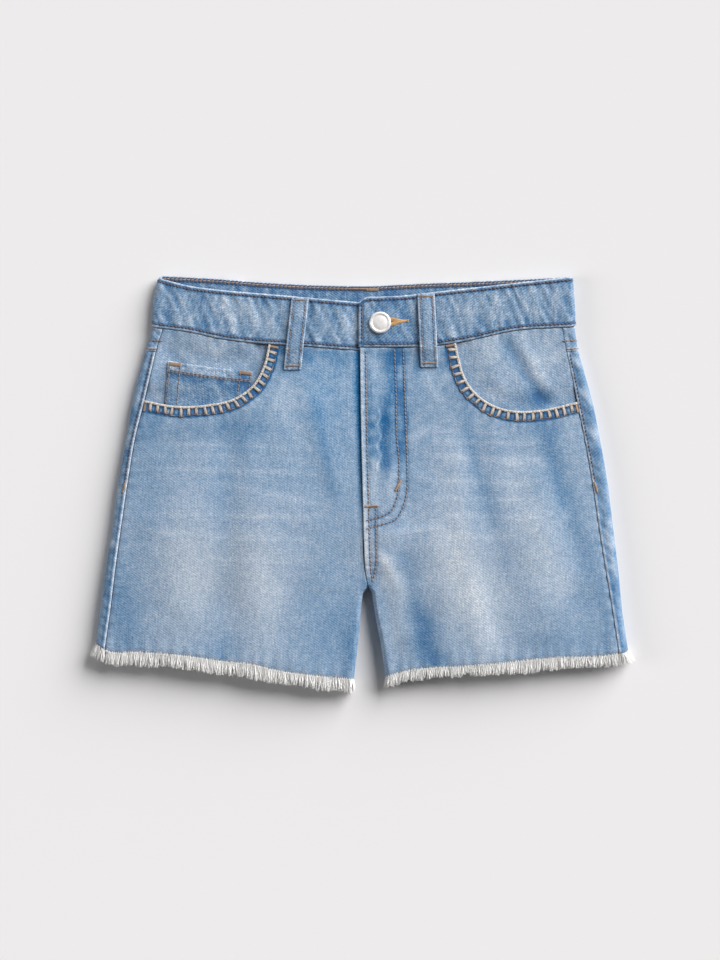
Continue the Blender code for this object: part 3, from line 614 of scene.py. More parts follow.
# Rows of stitches on the fronts. The fly's free edge has one row, the fly two that curve
# to its foot, and the crotch seam two.
FLY_TURN_IN = 4.7
FLY_ROWS = [
    [(27.3, 105.5), (28.4, 69), (29.2, 33.6), (30.8, 17.8), (30.6, 2), (28.4, -14.6), (24.5, -22.5)],
    [(34.1, 105.5), (35.4, 69), (36.6, 33.6), (37.4, 9.9), (37, -6.7), (34.2, -18.6), (27.7, -29.3)],
]
FLY_FEET = [[(16.6, -26.9), (4.6, -30.1)], [(16.6, -33.3), (4.6, -36.6)]]
CROTCH_ROW = [(12.4, -19.5), (12.7, -45), (12.6, -66), (10.8, -75.6)]
fly_rows = [smooth_line(points + foot, 160) for points, foot in zip(FLY_ROWS, FLY_FEET)]
crotch_row = smooth_line(CROTCH_ROW, 60)
fly_heights = np.linspace(104.5, -79, 120)
fly_edge_row = joined(fly_x(fly_heights) + FLY_TURN_IN, fly_heights)

# Small creases pulled by the seams
DRAGS = table(
    CREASE,
    (13, -42, 62, -36, 3.4, 0.3), (14, -52, 40, -60, 3, -0.14), (16, -56, 30, -82, 4, 0.25),
    (14, -82, 24, -112, 3.2, -0.14), (-2, -62, -30, -86, 3.4, 0.18), (38, 8, 58, 0, 3, 0.2),
    (38, 30, 54, 44, 3.2, 0.25), (52, 84, 62, 62, 3.4, 0.3), (-60, 84, -70, 56, 3.4, 0.3),
    (-82, 66, -92, 50, 3, 0.3), (-118, 52, -122, 36, 3, 0.25), (-148, 52, -156, 34, 3, 0.25),
    (88, 62, 78, 46, 3, 0.3), (108, 48, 104, 32, 3.2, 0.25), (132, 46, 136, 30, 3.2, 0.25),
    (160, 50, 168, 34, 3, 0.25), (20, 60, 19, 8, 3.5, -0.35), (10, 98, 11, 20, 2.6, 0.3),
)
BAR_PITCH = 5.8  # of the thick stitches round the pocket mouths
BAR_MARGIN = 5
LOOP_FEET = [(-53.5, 89), (54.9, 91)]


def bar_count(side):
    return int((reaches(mouths[side])[-1] - 6) / BAR_PITCH)


def at_bars(side, along_mouth):
    """1 under each thick stitch of a pocket mouth, 0 halfway between two."""
    pitch = (reaches(mouths[side])[-1] - 2 * BAR_MARGIN) / (bar_count(side) - 1)
    return 0.5 + 0.5 * np.cos(2 * math.pi * (along_mouth - BAR_MARGIN) / pitch)


def tacked_down(x, y):
    """How far the belt loops' tacked feet pull the cloth in."""
    return sum(0.6 * patch(x, y, foot_x, foot_y + 1, 9, 4.5) for foot_x, foot_y in LOOP_FEET)


def puckers(distance, along, pitch, reach, seed):
    """Short ripples square to a row of stitches, dying out away from it."""
    phase = 2 * math.pi * along / pitch + 2 * clouds(along, np.zeros_like(along), 15, seed)
    return np.sin(phase) * bell(distance, reach)


def front_detail(side, x, y):
    """Fine relief of a front: seam puckers, sunk stitches, rounded turn-ins and drag creases."""
    mouth, along_mouth = from_mouth(side, x, y)
    from_band = band_bottom(side, x) - y
    from_side = side * (seam_x(side, y) - x)
    from_hem = y - hem_y(side, x)
    from_fly = x - fly_x(y)
    detail = ridges(x, y, DRAGS)
    detail += 0.20 * puckers(mouth, along_mouth, 6, 14, 11) - tacked_down(x, y)
    detail -= 0.40 * at_bars(side, along_mouth) * bell(mouth, 8)
    detail += 0.16 * puckers(from_band, x, 8.5, 9, 12)
    detail += 0.14 * puckers(from_side, y, 9, 7, 13) - 0.45 * bell(from_side, 1.6)
    detail += 0.22 * puckers(from_hem, x, 10.5, 11, 14) - 0.25 * bell(from_hem - 1.5, 1)
    if side < 0:
        return detail - 0.5 * bell(from_fly, 3) * ramp(y, -50, 20)
    on_fly = ramp(y, -80, -70)
    detail += on_fly * (0.35 * bell(from_fly - 2, 1.7) - 0.3 * bell(from_fly - FLY_TURN_IN, 1))
    detail += on_fly * 0.15 * puckers(from_fly - 3, y, 7, 4, 15)
    for row in fly_rows:
        across, along = nearest(row[::4], x, y)
        detail += 0.13 * puckers(across, along, 7.5, 5, 16) - 0.22 * bell(across, 0.9)
    across, along = nearest(crotch_row[::3], x, y)
    return detail + 0.15 * puckers(across, along, 6, 4.5, 17) - 0.25 * bell(across, 0.9)


def front_face(side, x, y, out):
    from_fly = x - fly_x(y)
    step = FLY_RAISE * (1 - ramp(from_fly, 20, 38)) if side > 0 else -UNDER_DIP * ramp(from_fly, -8, -0.5)
    return front(x, y, out + step * ramp(y, RAISE_STOP - RAISE_FADE, RAISE_STOP) + front_detail(side, x, y))


# Fading brushed on by hand before the wash, and darker patches, four of them painted shade just under the
# band beside the belt loops: middle, reach across and along, lean, strength
FADES_AND_SHADE = [
    (-138, -75, 20, 58, 0, 0.15), (-75, -85, 15, 52, 0, 0.2), (-52, 58, 16, 28, 0, 0.13),
    (-168, 45, 14, 28, 0, -0.14), (-95, 40, 25, 12, 0, -0.12), (-47, -60, 14, 20, 0, 0.08),
    (66, -55, 13, 45, 0, 0.2), (112, -90, 10, 35, 0, 0.1), (145, 44, 16, 10, 0, -0.2),
    (0, 103, 25, 7, 0, -0.16), (-28, -105, 24, 45, 0, -0.15), (-7, -130, 8, 28, 0, -0.24),
    (-187, -108, 14, 44, -6, -0.24), (-170, -20, 14, 60, -8, -0.08), (-135, 45, 40, 13, 0, -0.12),
    (-108, -60, 9, 80, 0, -0.12), (-94, 32, 5, 16, 0, -0.1), (-112, -130, 10, 10, 0, -0.12),
    # The last patch on this line and the three on the next, beside the belt loops, are painted shade
    (176, -92, 12, 36, -8, -0.07), (150, -128, 40, 10, 0, -0.08), (69, 101, 6, 8, 0, -0.34),
    (45, 98, 4, 10, 0, -0.3), (-61, 104, 5, 8, 0, -0.3), (-41, 99, 5, 7, 0, -0.28),
    (28, 105, 9, 8, 0, -0.3), (20, -74, 6, 18, 0, 0.2), (77, -97, 10, 18, 0, 0.1),
    (6, -84, 4, 6, 0, -0.3), (8, -55, 14, 16, 0, 0.12),
]
# Faded ridges and dark hollows of old folds, with their strength for a height. Along the large folds the
# pale ridges are partly wear and partly painted light, and the dark troughs are painted shade.
STREAKS = table(
    CREASE,
    (-40, 72, -18, -16, 5, -0.13), (-12, 85, -6, 15, 7, 0.06), (70, 30, 77, -45, 9, 0.11),
    (80, -45, 104, -140, 13, 0.26), (81, 62, 90, 22, 6, -0.16), (90, 22, 104, -28, 6, -0.17),
    (104, -28, 120, -80, 7, -0.09), (118, 20, 134, -28, 14, 0.14), (134, -28, 160, -92, 15, 0.2),
    (148, 38, 164, -12, 8, -0.24), (164, -12, 184, -72, 8, -0.16), (190, -80, 197, -132, 5, -0.14),
    (16, -54, 30, -80, 6, 0.12), (30, -80, 28, -128, 8, 0.1), (34, -58, 46, -92, 8, -0.18),
    (44, -96, 60, -146, 10.5, -0.42), (31, 80, 32, 22, 4, -0.26), (26, 108, 23, 70, 5, -0.34),
    (22, 70, 19, 46, 5, -0.3), (20, 50, 21, 10, 6.5, -0.36), (34, 84, 34, 16, 2.6, -0.22),
    (7, 80, 8, 20, 4, -0.08), (12.5, 16, 12.5, -14, 4, 0.18), (28, 14, 24, -14, 3, 0.12),
)
WHISKERS = table(
    CREASE,
    (-158, 31, -32, 27, 2.4, 0.09), (-120, 21, -34, 17, 2.2, 0.06), (-150, 11, -30, 7, 2.4, 0.1),
    (-108, -1, -32, -17, 3, 0.12), (-150, -25, -38, -27, 2.6, 0.11), (-162, -39, -108, -41, 2.4, 0.07),
    (-112, -43, -36, -45, 2.8, 0.09), (-120, -60, -50, -62, 2.6, 0.06), (56, 40, 118, 39, 2.2, 0.08),
    (66, 33, 132, 31, 2.4, 0.11), (58, 22, 126, 15, 2.8, 0.13), (100, 20, 146, 18, 2.2, 0.08),
    (60, 2, 132, -1, 2.6, 0.11), (62, -12, 128, -14, 2.4, 0.09), (66, -25, 130, -28, 2.6, 0.09),
    (70, -42, 124, -43, 2.6, 0.07),
)


def front_wash_and_shade(side, x, y, edge):
    """How faded a front is: broad patches, old folds, whiskers, raised places and worn edges, with painted
    light on the large folds' ridges and painted shade in their troughs, beside the belt loops, between the
    bars under the pocket mouths, beside the fly's edge and along its sunk rows.
    """
    faded = np.full_like(x, 0.52)
    drift_x, drift_y = x + 3 * clouds(x, y, 16, 24), y + 5 * clouds(x, y, 22, 25)
    for middle_x, middle_y, reach_x, reach_y, lean, strength in FADES_AND_SHADE:
        cosine, sine = math.cos(math.radians(lean)), math.sin(math.radians(lean))
        dx, dy = drift_x - middle_x, drift_y - middle_y
        faded += strength * patch(dx * cosine - dy * sine, dx * sine + dy * cosine, 0, 0, reach_x, reach_y)
    faded += ridges(drift_x, drift_y, STREAKS)
    faded += ridges(x, y, WHISKERS) * (0.9 + 0.5 * clouds(x, y, 12, 21))
    faded += 0.26 * front_detail(side, x, y) + 0.12 * bell(edge, 1.2)
    faded += 0.04 * clouds(x, y, 22, 22) + (0.02 + 0.05 * ramp(y, 10, 70)) * clouds(x, y, 6, 23)
    mouth, along_mouth = from_mouth(side, x, y)
    mouth = np.abs(mouth)
    # Painted shade in the strip under a pocket mouth's bars, lighter in the middle of each puff between two
    # bars
    puffed = (1 - at_bars(side, along_mouth)) * bell(mouth - 4.9, 2.2)
    shadow = 0.76 - (0.62 + 0.4 * clouds(x, y, 7, 37)) * puffed
    faded -= ramp(mouth, 0.6, 2) * (1 - ramp(mouth, 8, 10)) * shadow
    if side < 0:
        # Painted shadow of the left front's raised fly edge on the right front
        fly_edge_shadow = bell(x - fly_x(y) + 1, 2.2 + 1.4 * ramp(y, 40, 80))
        return faded - 0.36 * fly_edge_shadow * ramp(y, -40, 0)
    faded += 0.24 * bell(x - fly_x(y) - 1.2, 1.4) * ramp(y, -80, -60)
    # Painted shade along the sunk rows of the fly and the crotch seam
    for row, strength in zip((*fly_rows, crotch_row), (0.20, 0.20, 0.28)):
        faded -= strength * bell(nearest(row[::4], x, y)[0], 1.5)
    # The pale edge and the dark rungs that the closed zip has rubbed into the fly
    pale_edge = bell(x - 15 - 1.2 * np.sin(y / 2.6), 1.1) * ramp(y, 4, 14) * (1 - ramp(y, 52, 64))
    rungs = bell(x - 9, 4) * (0.5 + 0.5 * np.cos(y / 1.8)) * bell(y - 38, 26)
    return faded + 0.30 * pale_edge - 0.30 * rungs


def front_bare(x, y):
    """Where years of wear have greyed the blue, and where it has stayed clear."""
    thighs = patch(x, y, -112, -72, 55, 42) + 0.6 * patch(x, y, 88, -75, 60, 45)
    return thighs - 0.9 * patch(x, y, -25, 70, 46, 55) - 0.1


def thread_nodes(group, given):
    """Twisted cotton: two tones of one dye, changing along and between threads."""
    where = group.nodes.new("ShaderNodeTexCoord").outputs["Object"]
    patchy = grain(group, where, (260.0,) * 3, detail=3.0)
    fibres = grain(group, where, (2600.0,) * 3, detail=1.0, offset=5.0)
    share = raised(group, blended(group, (patchy, 1.6), (fibres, 1.2)), 0.5, clamp=True)
    tones = {"Factor": share, "A": given["Dark"], "B": given["Light"]}
    return node(group, "Mix", tones, data_type="RGBA").outputs["Result"], fibres


twisted_cotton = finish_group("Twisted Cotton", {"Light": "Color", "Dark": "Color"}, thread_nodes)


def thread_finish(name, light, dark):
    made, tree, shader = shaded(name, {"Roughness": 0.75, "Sheen Weight": 0.15})
    tones = {"Light": (*light, 1.0), "Dark": (*dark, 1.0)}
    twist = node(tree, "Group", node_tree=twisted_cotton)
    for socket, tone in tones.items():
        twist.inputs[socket].default_value = tone
    covered(tree, shader, twist.outputs["Colour"], twist.outputs["Height"], 0.5, 0.1)
    return made


# Raw hems. The legs are cut off and left unhemmed, and wear has freed the white cotton
# threads of the cloth, which hang below the cut edge in uneven locks.
raw_cotton = thread_finish("raw cotton", (0.97, 0.97, 0.96), (0.86, 0.85, 0.83))
STRAND = 0.34
STRAND_RINGS = (0, 0.3, 0.55, 0.8, 1)
STRAND_SIDES = 3
LOCK_PITCH = 2.9
LOCK_SPREAD = 0.62  # how far a lock's roots reach to both sides, as a share of the pitch
STRAYS = 0.12  # share of the threads that leave their lock
CURL = 0.45
SPLAY = 4  # how far the threads at the legs' outer corners lean out
SPLAY_X = (203, 209)


def ring_faces(rings, sides):
    """Faces between the rings of points of one tube."""
    low = np.arange((rings - 1) * sides).reshape(-1, sides)
    beside = np.roll(low, -1, 1)
    return joined(low, low + sides, beside + sides, beside).reshape(-1, 4)


def repeated(name, rings, pattern, finish):
    """One object of many like shapes, given the rings of points of all and the faces of one."""
    points = np.stack(rings, 1)
    first = np.arange(len(points))[:, None, None] * points.shape[1]
    return object_of(name, points.reshape(-1, 3), (pattern + first).reshape(-1, 4), finish)


def frayed(name, replaced, edge, count, droop, seed):
    """Loose threads under a hem as one object, drawn together in uneven locks.

    edge(share, out) gives points of the hem.
    """
    chance = np.random.default_rng(seed)
    shares = np.linspace(0, 1, 400)
    reach = reaches(edge(shares, 0))
    locks = int(reach[-1] / LOCK_PITCH)
    lock = chance.integers(0, locks, count)
    at_lock = np.interp((lock + 0.5) / locks * reach[-1], reach, shares)
    at = np.clip((lock + 0.5 + chance.uniform(-LOCK_SPREAD, LOCK_SPREAD, count)) / locks, 0.001, 0.999)
    at = np.interp(at * reach[-1], reach, shares)
    depth = (chance.random(count) ** 2)[:, None]
    root = mix(edge(at, 0), edge(at, -DENIM), depth)
    pull = (edge(at_lock, -0.5) - root) * chance.uniform(0, 0.5, locks)[lock][:, None]
    size = fray_length(root[:, 0]) * chance.uniform(0.90, 1.05, locks)[lock]
    size *= chance.uniform(0.84, 1.05, count)
    stray = chance.random(count) < STRAYS
    sway = np.where(stray, chance.uniform(-3, 3, count), chance.uniform(-1.3, 1.3, locks)[lock])
    lean = SPLAY * np.sign(root[:, 0]) * ramp(np.abs(root[:, 0]), *SPLAY_X) * ramp(root[:, 2], 0.5, 3)
    drop = droop * chance.uniform(0.4, 1, locks)[lock] + chance.normal(0, 0.3, count)
    way = joined(sway + lean, -size, -drop) + pull
    curl = chance.normal(0, CURL, (count, 2))
    phase = chance.uniform(0, 2 * math.pi, (count, 2))
    rings = []
    for share in STRAND_RINGS:
        wave = curl * (np.sin(phase + 5 * share) - np.sin(phase)) * share
        middle = root + way * share * (1, 1, share) + joined(wave[:, 0], np.zeros(count), wave[:, 1])
        middle[:, 2] = np.maximum(middle[:, 2], STRAND)
        radius = STRAND * (1 - 0.6 * share**3)
        for turn in np.arange(STRAND_SIDES) * 2 * math.pi / STRAND_SIDES:
            rings.append(middle + radius * np.array([math.cos(turn), 0, math.sin(turn)]))
    outward = ring_faces(len(STRAND_RINGS), STRAND_SIDES)[:, [0, 3, 2, 1]]
    made = repeated(name, rings, outward, raw_cotton)
    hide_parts(replaced)
    return made


HEM_GAP = 0.2  # the threads start this far below the cloth's edge


def front_hem(side, share, out):
    """Points of a front's hem, `out` outside its face, from the side seam to the inner leg."""
    x = mix(hem_corner(side, seam_x)[0], hem_corner(side, inner_x)[0], share)
    return front_face(side, x, hem_y(side, x), out) - (0, HEM_GAP, 0)


def fray_length(x):
    """The right leg is frayed evenly; the left one less towards the side, and torn short once."""
    right = 10.6 + 1.1 * clouds(x, x * 0, 17, 91)
    left = 8.5 + 1.2 * bell(x - 128, 30) - 3.4 * bell(x - 84.5, 3.2) + 0.9 * clouds(x, x * 0, 14, 92)
    return np.where(x < CROTCH[0], right, left)


for side, hand in HANDS.items():
    panel = cloth(
        f"front_panel_{hand}", f"front_{hand}", across=(161, 200), along=(190, 250), rim=0.55,
        lay=front_lay(side), face=partial(front_face, side), thickness=DENIM,
        wash=partial(front_wash_and_shade, side), finish=washed_denim, bare=front_bare,
    )
    fringe = frayed(
        f"frayed_hem_front_{hand}", f"fringe_front_{hand}", partial(front_hem, side),
        count=1900, droop=0.9, seed=101 + side,
    )


# Stitches on the fronts. Tan cotton thread, each stitch a short raised bead that dips into
# the cloth at both ends; dense bars of the same thread lock the foot of the fly.
THREAD = 0.58
BEAD_RINGS = [(0, 0.35), (0.14, 0.85), (0.5, 1), (0.86, 0.85), (1, 0.35)]
BEAD_SIDES = 6
worn_tan = thread_finish("worn tan thread", (0.31, 0.245, 0.22), (0.13, 0.115, 0.13))
dark_tan = thread_finish("dark tan thread", (0.14, 0.115, 0.13), (0.045, 0.05, 0.075))
bright_tan = thread_finish("bright tan thread", (0.45, 0.31, 0.21), (0.25, 0.16, 0.11))


def outward(face, place, lift=0):
    return unit(face(*place.T, lift + 1) - face(*place.T, lift))


def sewn(line, face, pitch=3.1, length=2.7, slant=0.16, lift=0.05):
    """Ends and outward direction of each stitch in a row along a line on a face."""
    reach = reaches(line)
    count = max(int(reach[-1] / pitch), 1)
    middle = (np.arange(count) + 0.5) * reach[-1] / count
    ends = []
    for way in (-0.5, 0.5):
        at = middle + way * length
        place = points_at(line, reach, at)
        du, dv = (points_at(line, reach, np.minimum(at + 0.5, reach[-1])) - place).T
        size = np.maximum(np.hypot(du, dv), 1e-6)
        ends.append(face(*(place + joined(-dv, du) / size[:, None] * slant * way * 2).T, lift))
    return *ends, outward(face, points_at(line, reach, middle), lift)


def bar(start, end, width, face, pitch=0.62, lift=0.35):
    """A dense bar of thread: close stitches square to the line from start to end."""
    start, end = np.array(start, float), np.array(end, float)
    way = end - start
    length = np.hypot(*way)
    count = max(int(length / pitch), 2)
    across = np.array([-way[1], way[0]]) / length * width / 2
    middle = start + way * ((np.arange(count) + 0.5) / count)[:, None]
    ends = [face(*(middle + side * across).T, lift) for side in (-1, 1)]
    return *ends, outward(face, middle, lift)


def beads(name, runs, radius, finish, rise=0.4):
    """Stitches of several rows as one object: short raised beads of thread."""
    start, end, out = (np.concatenate(parts) for parts in zip(*runs))
    along = unit(end - start)
    across = unit(np.cross(along, out))
    rings = []
    for share, size in BEAD_RINGS:
        middle = mix(start, end, share) + out * radius * rise * math.sin(math.pi * share)
        for turn in np.arange(BEAD_SIDES) * 2 * math.pi / BEAD_SIDES:
            ring = middle + radius * size * (math.cos(turn) * across + 0.85 * math.sin(turn) * out)
            ring[:, 2] = np.maximum(ring[:, 2], 0)  # stitches underneath are pressed flat
            rings.append(ring)
    caps = np.array([(0, 1, 2, 3), (0, 3, 4, 5), (3, 2, 1, 0), (5, 4, 3, 0)])
    caps[2:] += (len(BEAD_RINGS) - 1) * BEAD_SIDES
    pattern = np.concatenate([ring_faces(len(BEAD_RINGS), BEAD_SIDES), caps])
    made = repeated(name, rings, pattern, finish)
    return made


left_front = partial(front_face, 1)
fly_bars = [bar((4, -18.8), (14.2, -18.4), 1.9, left_front), bar((28, -6.4), (32.2, 1.6), 1.9, left_front)]
fly_runs = [sewn(row, left_front) for row in (*fly_rows, crotch_row, fly_edge_row)]
beads("fly_stitches", fly_runs, THREAD, worn_tan)
beads("fly_bars", fly_bars, THREAD, bright_tan)


HEM_INSET = 1.3


def stay_row(lay, face):
    """The row of stitches that stops the fray at a hem."""
    return sewn(joined(lay[0], lay[1] + HEM_INSET), face, pitch=2.3, length=2)


hem_runs = []
for side in HANDS:
    x = np.linspace(hem_corner(side, seam_x)[0] - side, hem_corner(side, inner_x)[0] + side * 2, 160)
    hem_runs.append(stay_row((x, hem_y(side, x)), partial(front_face, side)))
beads("hem_stitches_front", hem_runs, 0.26, worn_tan)


HEM_TICK = 1.3


def hem_ticks(edge, count, seed):
    """Pale thread ends that cross a raw hem's edge."""
    chance = np.random.default_rng(seed)
    share = (np.arange(count) + chance.uniform(0.1, 0.9, count)) / count
    start = edge(share, 0.1) + np.array([[0, HEM_TICK, 0]]) * chance.uniform(0.5, 1, (count, 1))
    return start, edge(share, 0.05) - (0, 1.4, 0), unit(edge(share, 1) - edge(share, 0))


ticks = [hem_ticks(partial(front_hem, side), count=120, seed=121 + side) for side in HANDS]
beads("hem_ticks_front", ticks, 0.24, raw_cotton)


# Back panels. The two largest pieces, of the same washed denim: they lie on the table, wrap
# round the side folds and are sewn to the fronts there, and to each other up the centre back.
BACK_SHORT = 2.5
YOKE_AT_WAIST = 2.5
BAND_BACK = table(
    "x top",
    (-154, 163.6), (-121.7, 162), (-68.7, 158.1), (-16.6, 156), (9.5, 155.9), (39.5, 157.4),
    (91.6, 159.4), (166.7, 162.8),
)
YOKE_SEAM = table("out y", (0, 72), (60, 83), (120, 96), (160, 103.2), (180, 104.5))
band_back = curve(BAND_BACK, "top")
yoke_y = curve(YOKE_SEAM, "y")
EDGE_SHARE = 0.04  # share of a back's columns over its inner edge
FLOOR_SHARE, FOLD_SHARE = 0.76, 0.92  # shares where its floor and its side fold end
ROUNDS = 6  # length along the cloth and height depend on each other, and settle in this many


def side_fold(side, y):
    """Radius of the side fold, and where it starts and ends along the cloth."""
    radius = layers(y)[0]
    start = side * fold_x(side, y) - radius
    return radius, start, start + math.pi * radius


def back(side, s, y, out=0.0):
    """Points `out` outside the back, s along the cloth: floor, side fold, then the front."""
    radius, start, end = side_fold(side, y)
    middle = layers(y)[1]
    floor_x, floor_y, rise = rolled(side * s, y, out, radius)
    floor = joined(floor_x, floor_y, middle - rise)
    turn = np.clip((s - start) / radius, 0, math.pi)
    bend = joined(side * (start + (radius + out) * np.sin(turn)), y, middle - (radius + out) * np.cos(turn))
    strip_x = side * (start + end - s)
    strip = joined(strip_x, y, middle + radius + out + relief(strip_x, y))
    return np.where((s <= start)[..., None], floor, np.where((s > end)[..., None], strip, bend))


def back_x(side, s, y):
    return back(side, s, y)[..., 0]


def level(side, s, y):
    """0 on the floor, 1 on the front, between them on the side fold."""
    radius, start, _ = side_fold(side, y)
    return (1 - np.cos(np.clip((s - start) / radius, 0, math.pi))) / 2


def centre_back_x(y):
    return mix(CROTCH[0], YOKE_AT_WAIST, (y - CROTCH[1]) / (LIFT_END - CROTCH[1]))


def wrapped(side, share, y, inner_s, edge_share, strip_end, floor_share=FLOOR_SHARE, fold_share=FOLD_SHARE):
    """Length along the cloth at a share of the columns: inner edge, floor, side fold, strip."""
    radius, start, end = side_fold(side, y)
    inner_end = inner_s + (TIGHT * radius if edge_share else 0)
    turn = np.clip(share / max(edge_share, 1e-9), 0, 1) * math.pi / 2
    on_edge = inner_s + TIGHT * radius * (1 - np.cos(turn))
    on_floor = mix(inner_end, start, (share - edge_share) / (floor_share - edge_share))
    on_fold = mix(start, end, (share - floor_share) / (fold_share - floor_share))
    on_strip = mix(end, start + end - strip_end, (share - fold_share) / (1 - fold_share))
    parts = [share < edge_share, share <= floor_share, share <= fold_share]
    return np.select(parts, [on_edge, on_floor, on_fold], on_strip)


def back_hem(side, s, y):
    """Height of the back's hem: inside the front one on the floor, level with it at both edges."""
    x = back_x(side, s, y)
    inward = ramp(to_notch(x, y)[0], 0, 15)
    return hem_y(side, x) + BACK_SHORT * (1 - level(side, s, y)) * inward


def yoke_line(side, s, y):
    return yoke_y(np.abs(back_x(side, s, y) - YOKE_AT_WAIST))


def back_lay(side, a, b):
    """Back panel from the centre back and inner leg along the floor and round to the side seam."""
    y = mix(-130, 90, b)
    for _ in range(ROUNDS):
        inner_s = np.where(y < CROTCH[1], side * inner_x(side, y), side * centre_back_x(y) + SEAM / 2)
        s = wrapped(side, a, y, inner_s, EDGE_SHARE, side * seam_x(side, y) + SEAM)
        low, high = back_hem(side, s, y), yoke_line(side, s, y) - SEAM
        y = mix(inner_rows(b, low, high), mix(low, high, b), ramp(a, 0.2, 0.7))
    return s, y


FLOOR_CLEAR = 0.25  # the stitches underneath hold the cloth this far off the floor


def back_detail(side, s, y):
    """Fine relief of the part that wraps over the side: a roped ridge along the side seam."""
    above = ramp(level(side, s, y), 0.35, 0.9)
    x = back_x(side, s, y)
    from_seam = side * (x - seam_x(side, y))
    roped = puckers(from_seam - 3, y + 0.8 * x, 9.5, 6, 31)
    strip = 0.38 * bell(from_seam - 1.5, 1.3) + 0.28 * roped - 0.2 * bell(from_seam - 4, 0.9)
    return above * strip - FLOOR_CLEAR * (1 - above)


def back_face(side, s, y, out):
    return back(side, s, y, out + back_detail(side, s, y))


def back_wash_and_shade(side, s, y, edge):
    above = ramp(level(side, s, y), 0.3, 0.9)
    worn = 0.10 * patch(s, y, 90, 10, 48, 62) + 0.08 * patch(s, y, 100, -95, 55, 50)  # seat and thigh
    from_seam = side * (back_x(side, s, y) - seam_x(side, y))
    # A pale worn ridge by the side seam, and painted shade along the sunk row of stitches beside it
    ridge = 0.18 * bell(from_seam - 0.9, 1) - 0.30 * bell(from_seam - 2.7, 0.9)
    ridge += 0.24 * ramp(from_seam, 1.5, 5) * clouds(s, y, 8, 33) - 0.04
    faded = 0.44 + worn * (1 - above) + ridge * above + 0.20 * back_detail(side, s, y)
    return faded + 0.05 * clouds(s, y, 24, 34) + 0.16 * bell(edge, 1.3)


def foot_row(lay, side, shares):
    """The lowest row of a piece."""
    return lay(side, shares, np.zeros_like(shares))


def back_hem_edge(side, share, out):
    """Points of a back's hem, `out` outside its face, from the inner leg to the side seam."""
    return back_face(side, *foot_row(back_lay, side, share), out) - (0, HEM_GAP, 0)


for side, hand in HANDS.items():
    panel = cloth(
        f"back_panel_{hand}", f"back_{hand}", across=(114, 240), along=(124, 250), rim=0.55,
        lay=partial(back_lay, side), face=partial(back_face, side), thickness=DENIM,
        wash=partial(back_wash_and_shade, side), finish=washed_denim,
    )
    fringe = frayed(
        f"frayed_hem_back_{hand}", f"fringe_back_{hand}", partial(back_hem_edge, side),
        count=1050, droop=0.6, seed=111 + side,
    )

# Stitches of the backs: beside the side seam down to a bar below the pocket, up the centre
# back in two rows, and along the hem.
CENTRE_ROWS = (-74, 70)  # foot and top of the rows
SIDE_ROWS = (-4, 102)
centre_heights = np.linspace(*CENTRE_ROWS, 100)
side_heights = np.linspace(*SIDE_ROWS, 90)
left_back = partial(back_face, 1)
centre_rows = [joined(centre_back_x(centre_heights) + inset, centre_heights) for inset in (2.2, 8.2)]
side_runs, side_bars, hem_runs = [], [], []
for side in HANDS:
    face = partial(back_face, side)
    _, start, end = side_fold(side, side_heights)
    row = joined(start + end - side * seam_x(side, side_heights) - 2.4, side_heights)
    side_runs.append(sewn(row, face))
    side_bars.append(bar(row[0] + (0, -4), row[0] + (0, 4.5), 1.6, face))
    hem_runs.append(stay_row(foot_row(back_lay, side, np.linspace(0.02, 0.99, 170)), face))
beads("back_stitches", [sewn(row, left_back) for row in centre_rows], THREAD, worn_tan)
beads("side_stitches", side_runs, THREAD, dark_tan)
beads("side_bars", side_bars, THREAD, bright_tan)
beads("hem_stitches_back", hem_runs, 0.26, worn_tan)


# Back yokes. Two shaped strips of the same denim between the backs and the waistband, wrapped
# round the side folds with them; two rows of stitches hold the seam below.
BAND_HEIGHT = 38


def waist_line(side, s, y):
    """The band's lower edge, from the back's to the front's round the side fold."""
    x = back_x(side, s, y)
    return mix(band_back(x) - BAND_HEIGHT, band_bottom(side, x), level(side, s, y))


def yoke_lay(side, a, b):
    y = np.full_like(a, 100)
    for _ in range(ROUNDS):
        s = wrapped(side, a, y, side * centre_back_x(y) + SEAM / 2, 0, side * seam_x(side, y) + SEAM)
        y = mix(yoke_line(side, s, y), waist_line(side, s, y) - BAND_SEAM, b)
    return s, y


def yoke_face(side, s, y, out):
    above = ramp(level(side, s, y), 0.35, 0.9)
    from_foot = y - yoke_line(side, s, y)
    folded = 0.5 * bell(from_foot - 1.4, 1.6) - 0.2 * bell(from_foot - 3.6, 0.8)
    return back(side, s, y, out + above * folded + back_detail(side, s, y))


def yoke_wash(side, s, y, edge):
    worn = 0.22 * bell(y - yoke_line(side, s, y) - 1.2, 1.5) + 0.18 * bell(edge, 1.3)
    return 0.40 + worn + 0.06 * clouds(s, y, 16, 41) + 0.08 * clouds(s, y, 7, 42)


yoke_runs = []
for side, hand in HANDS.items():
    face = partial(yoke_face, side)
    yoke = cloth(
        f"yoke_panel_{hand}", f"yoke_{hand}", across=(114, 190), along=(28, 36), rim=0.55,
        lay=partial(yoke_lay, side), face=face, thickness=DENIM,
        wash=partial(yoke_wash, side), finish=washed_denim,
    )
    foot_s, foot_y = foot_row(yoke_lay, side, np.linspace(0.01, 0.995, 140))
    yoke_runs += [sewn(joined(foot_s, foot_y + inset), face) for inset in (1.9, 8.3)]
beads("yoke_stitches", yoke_runs, THREAD, worn_tan)


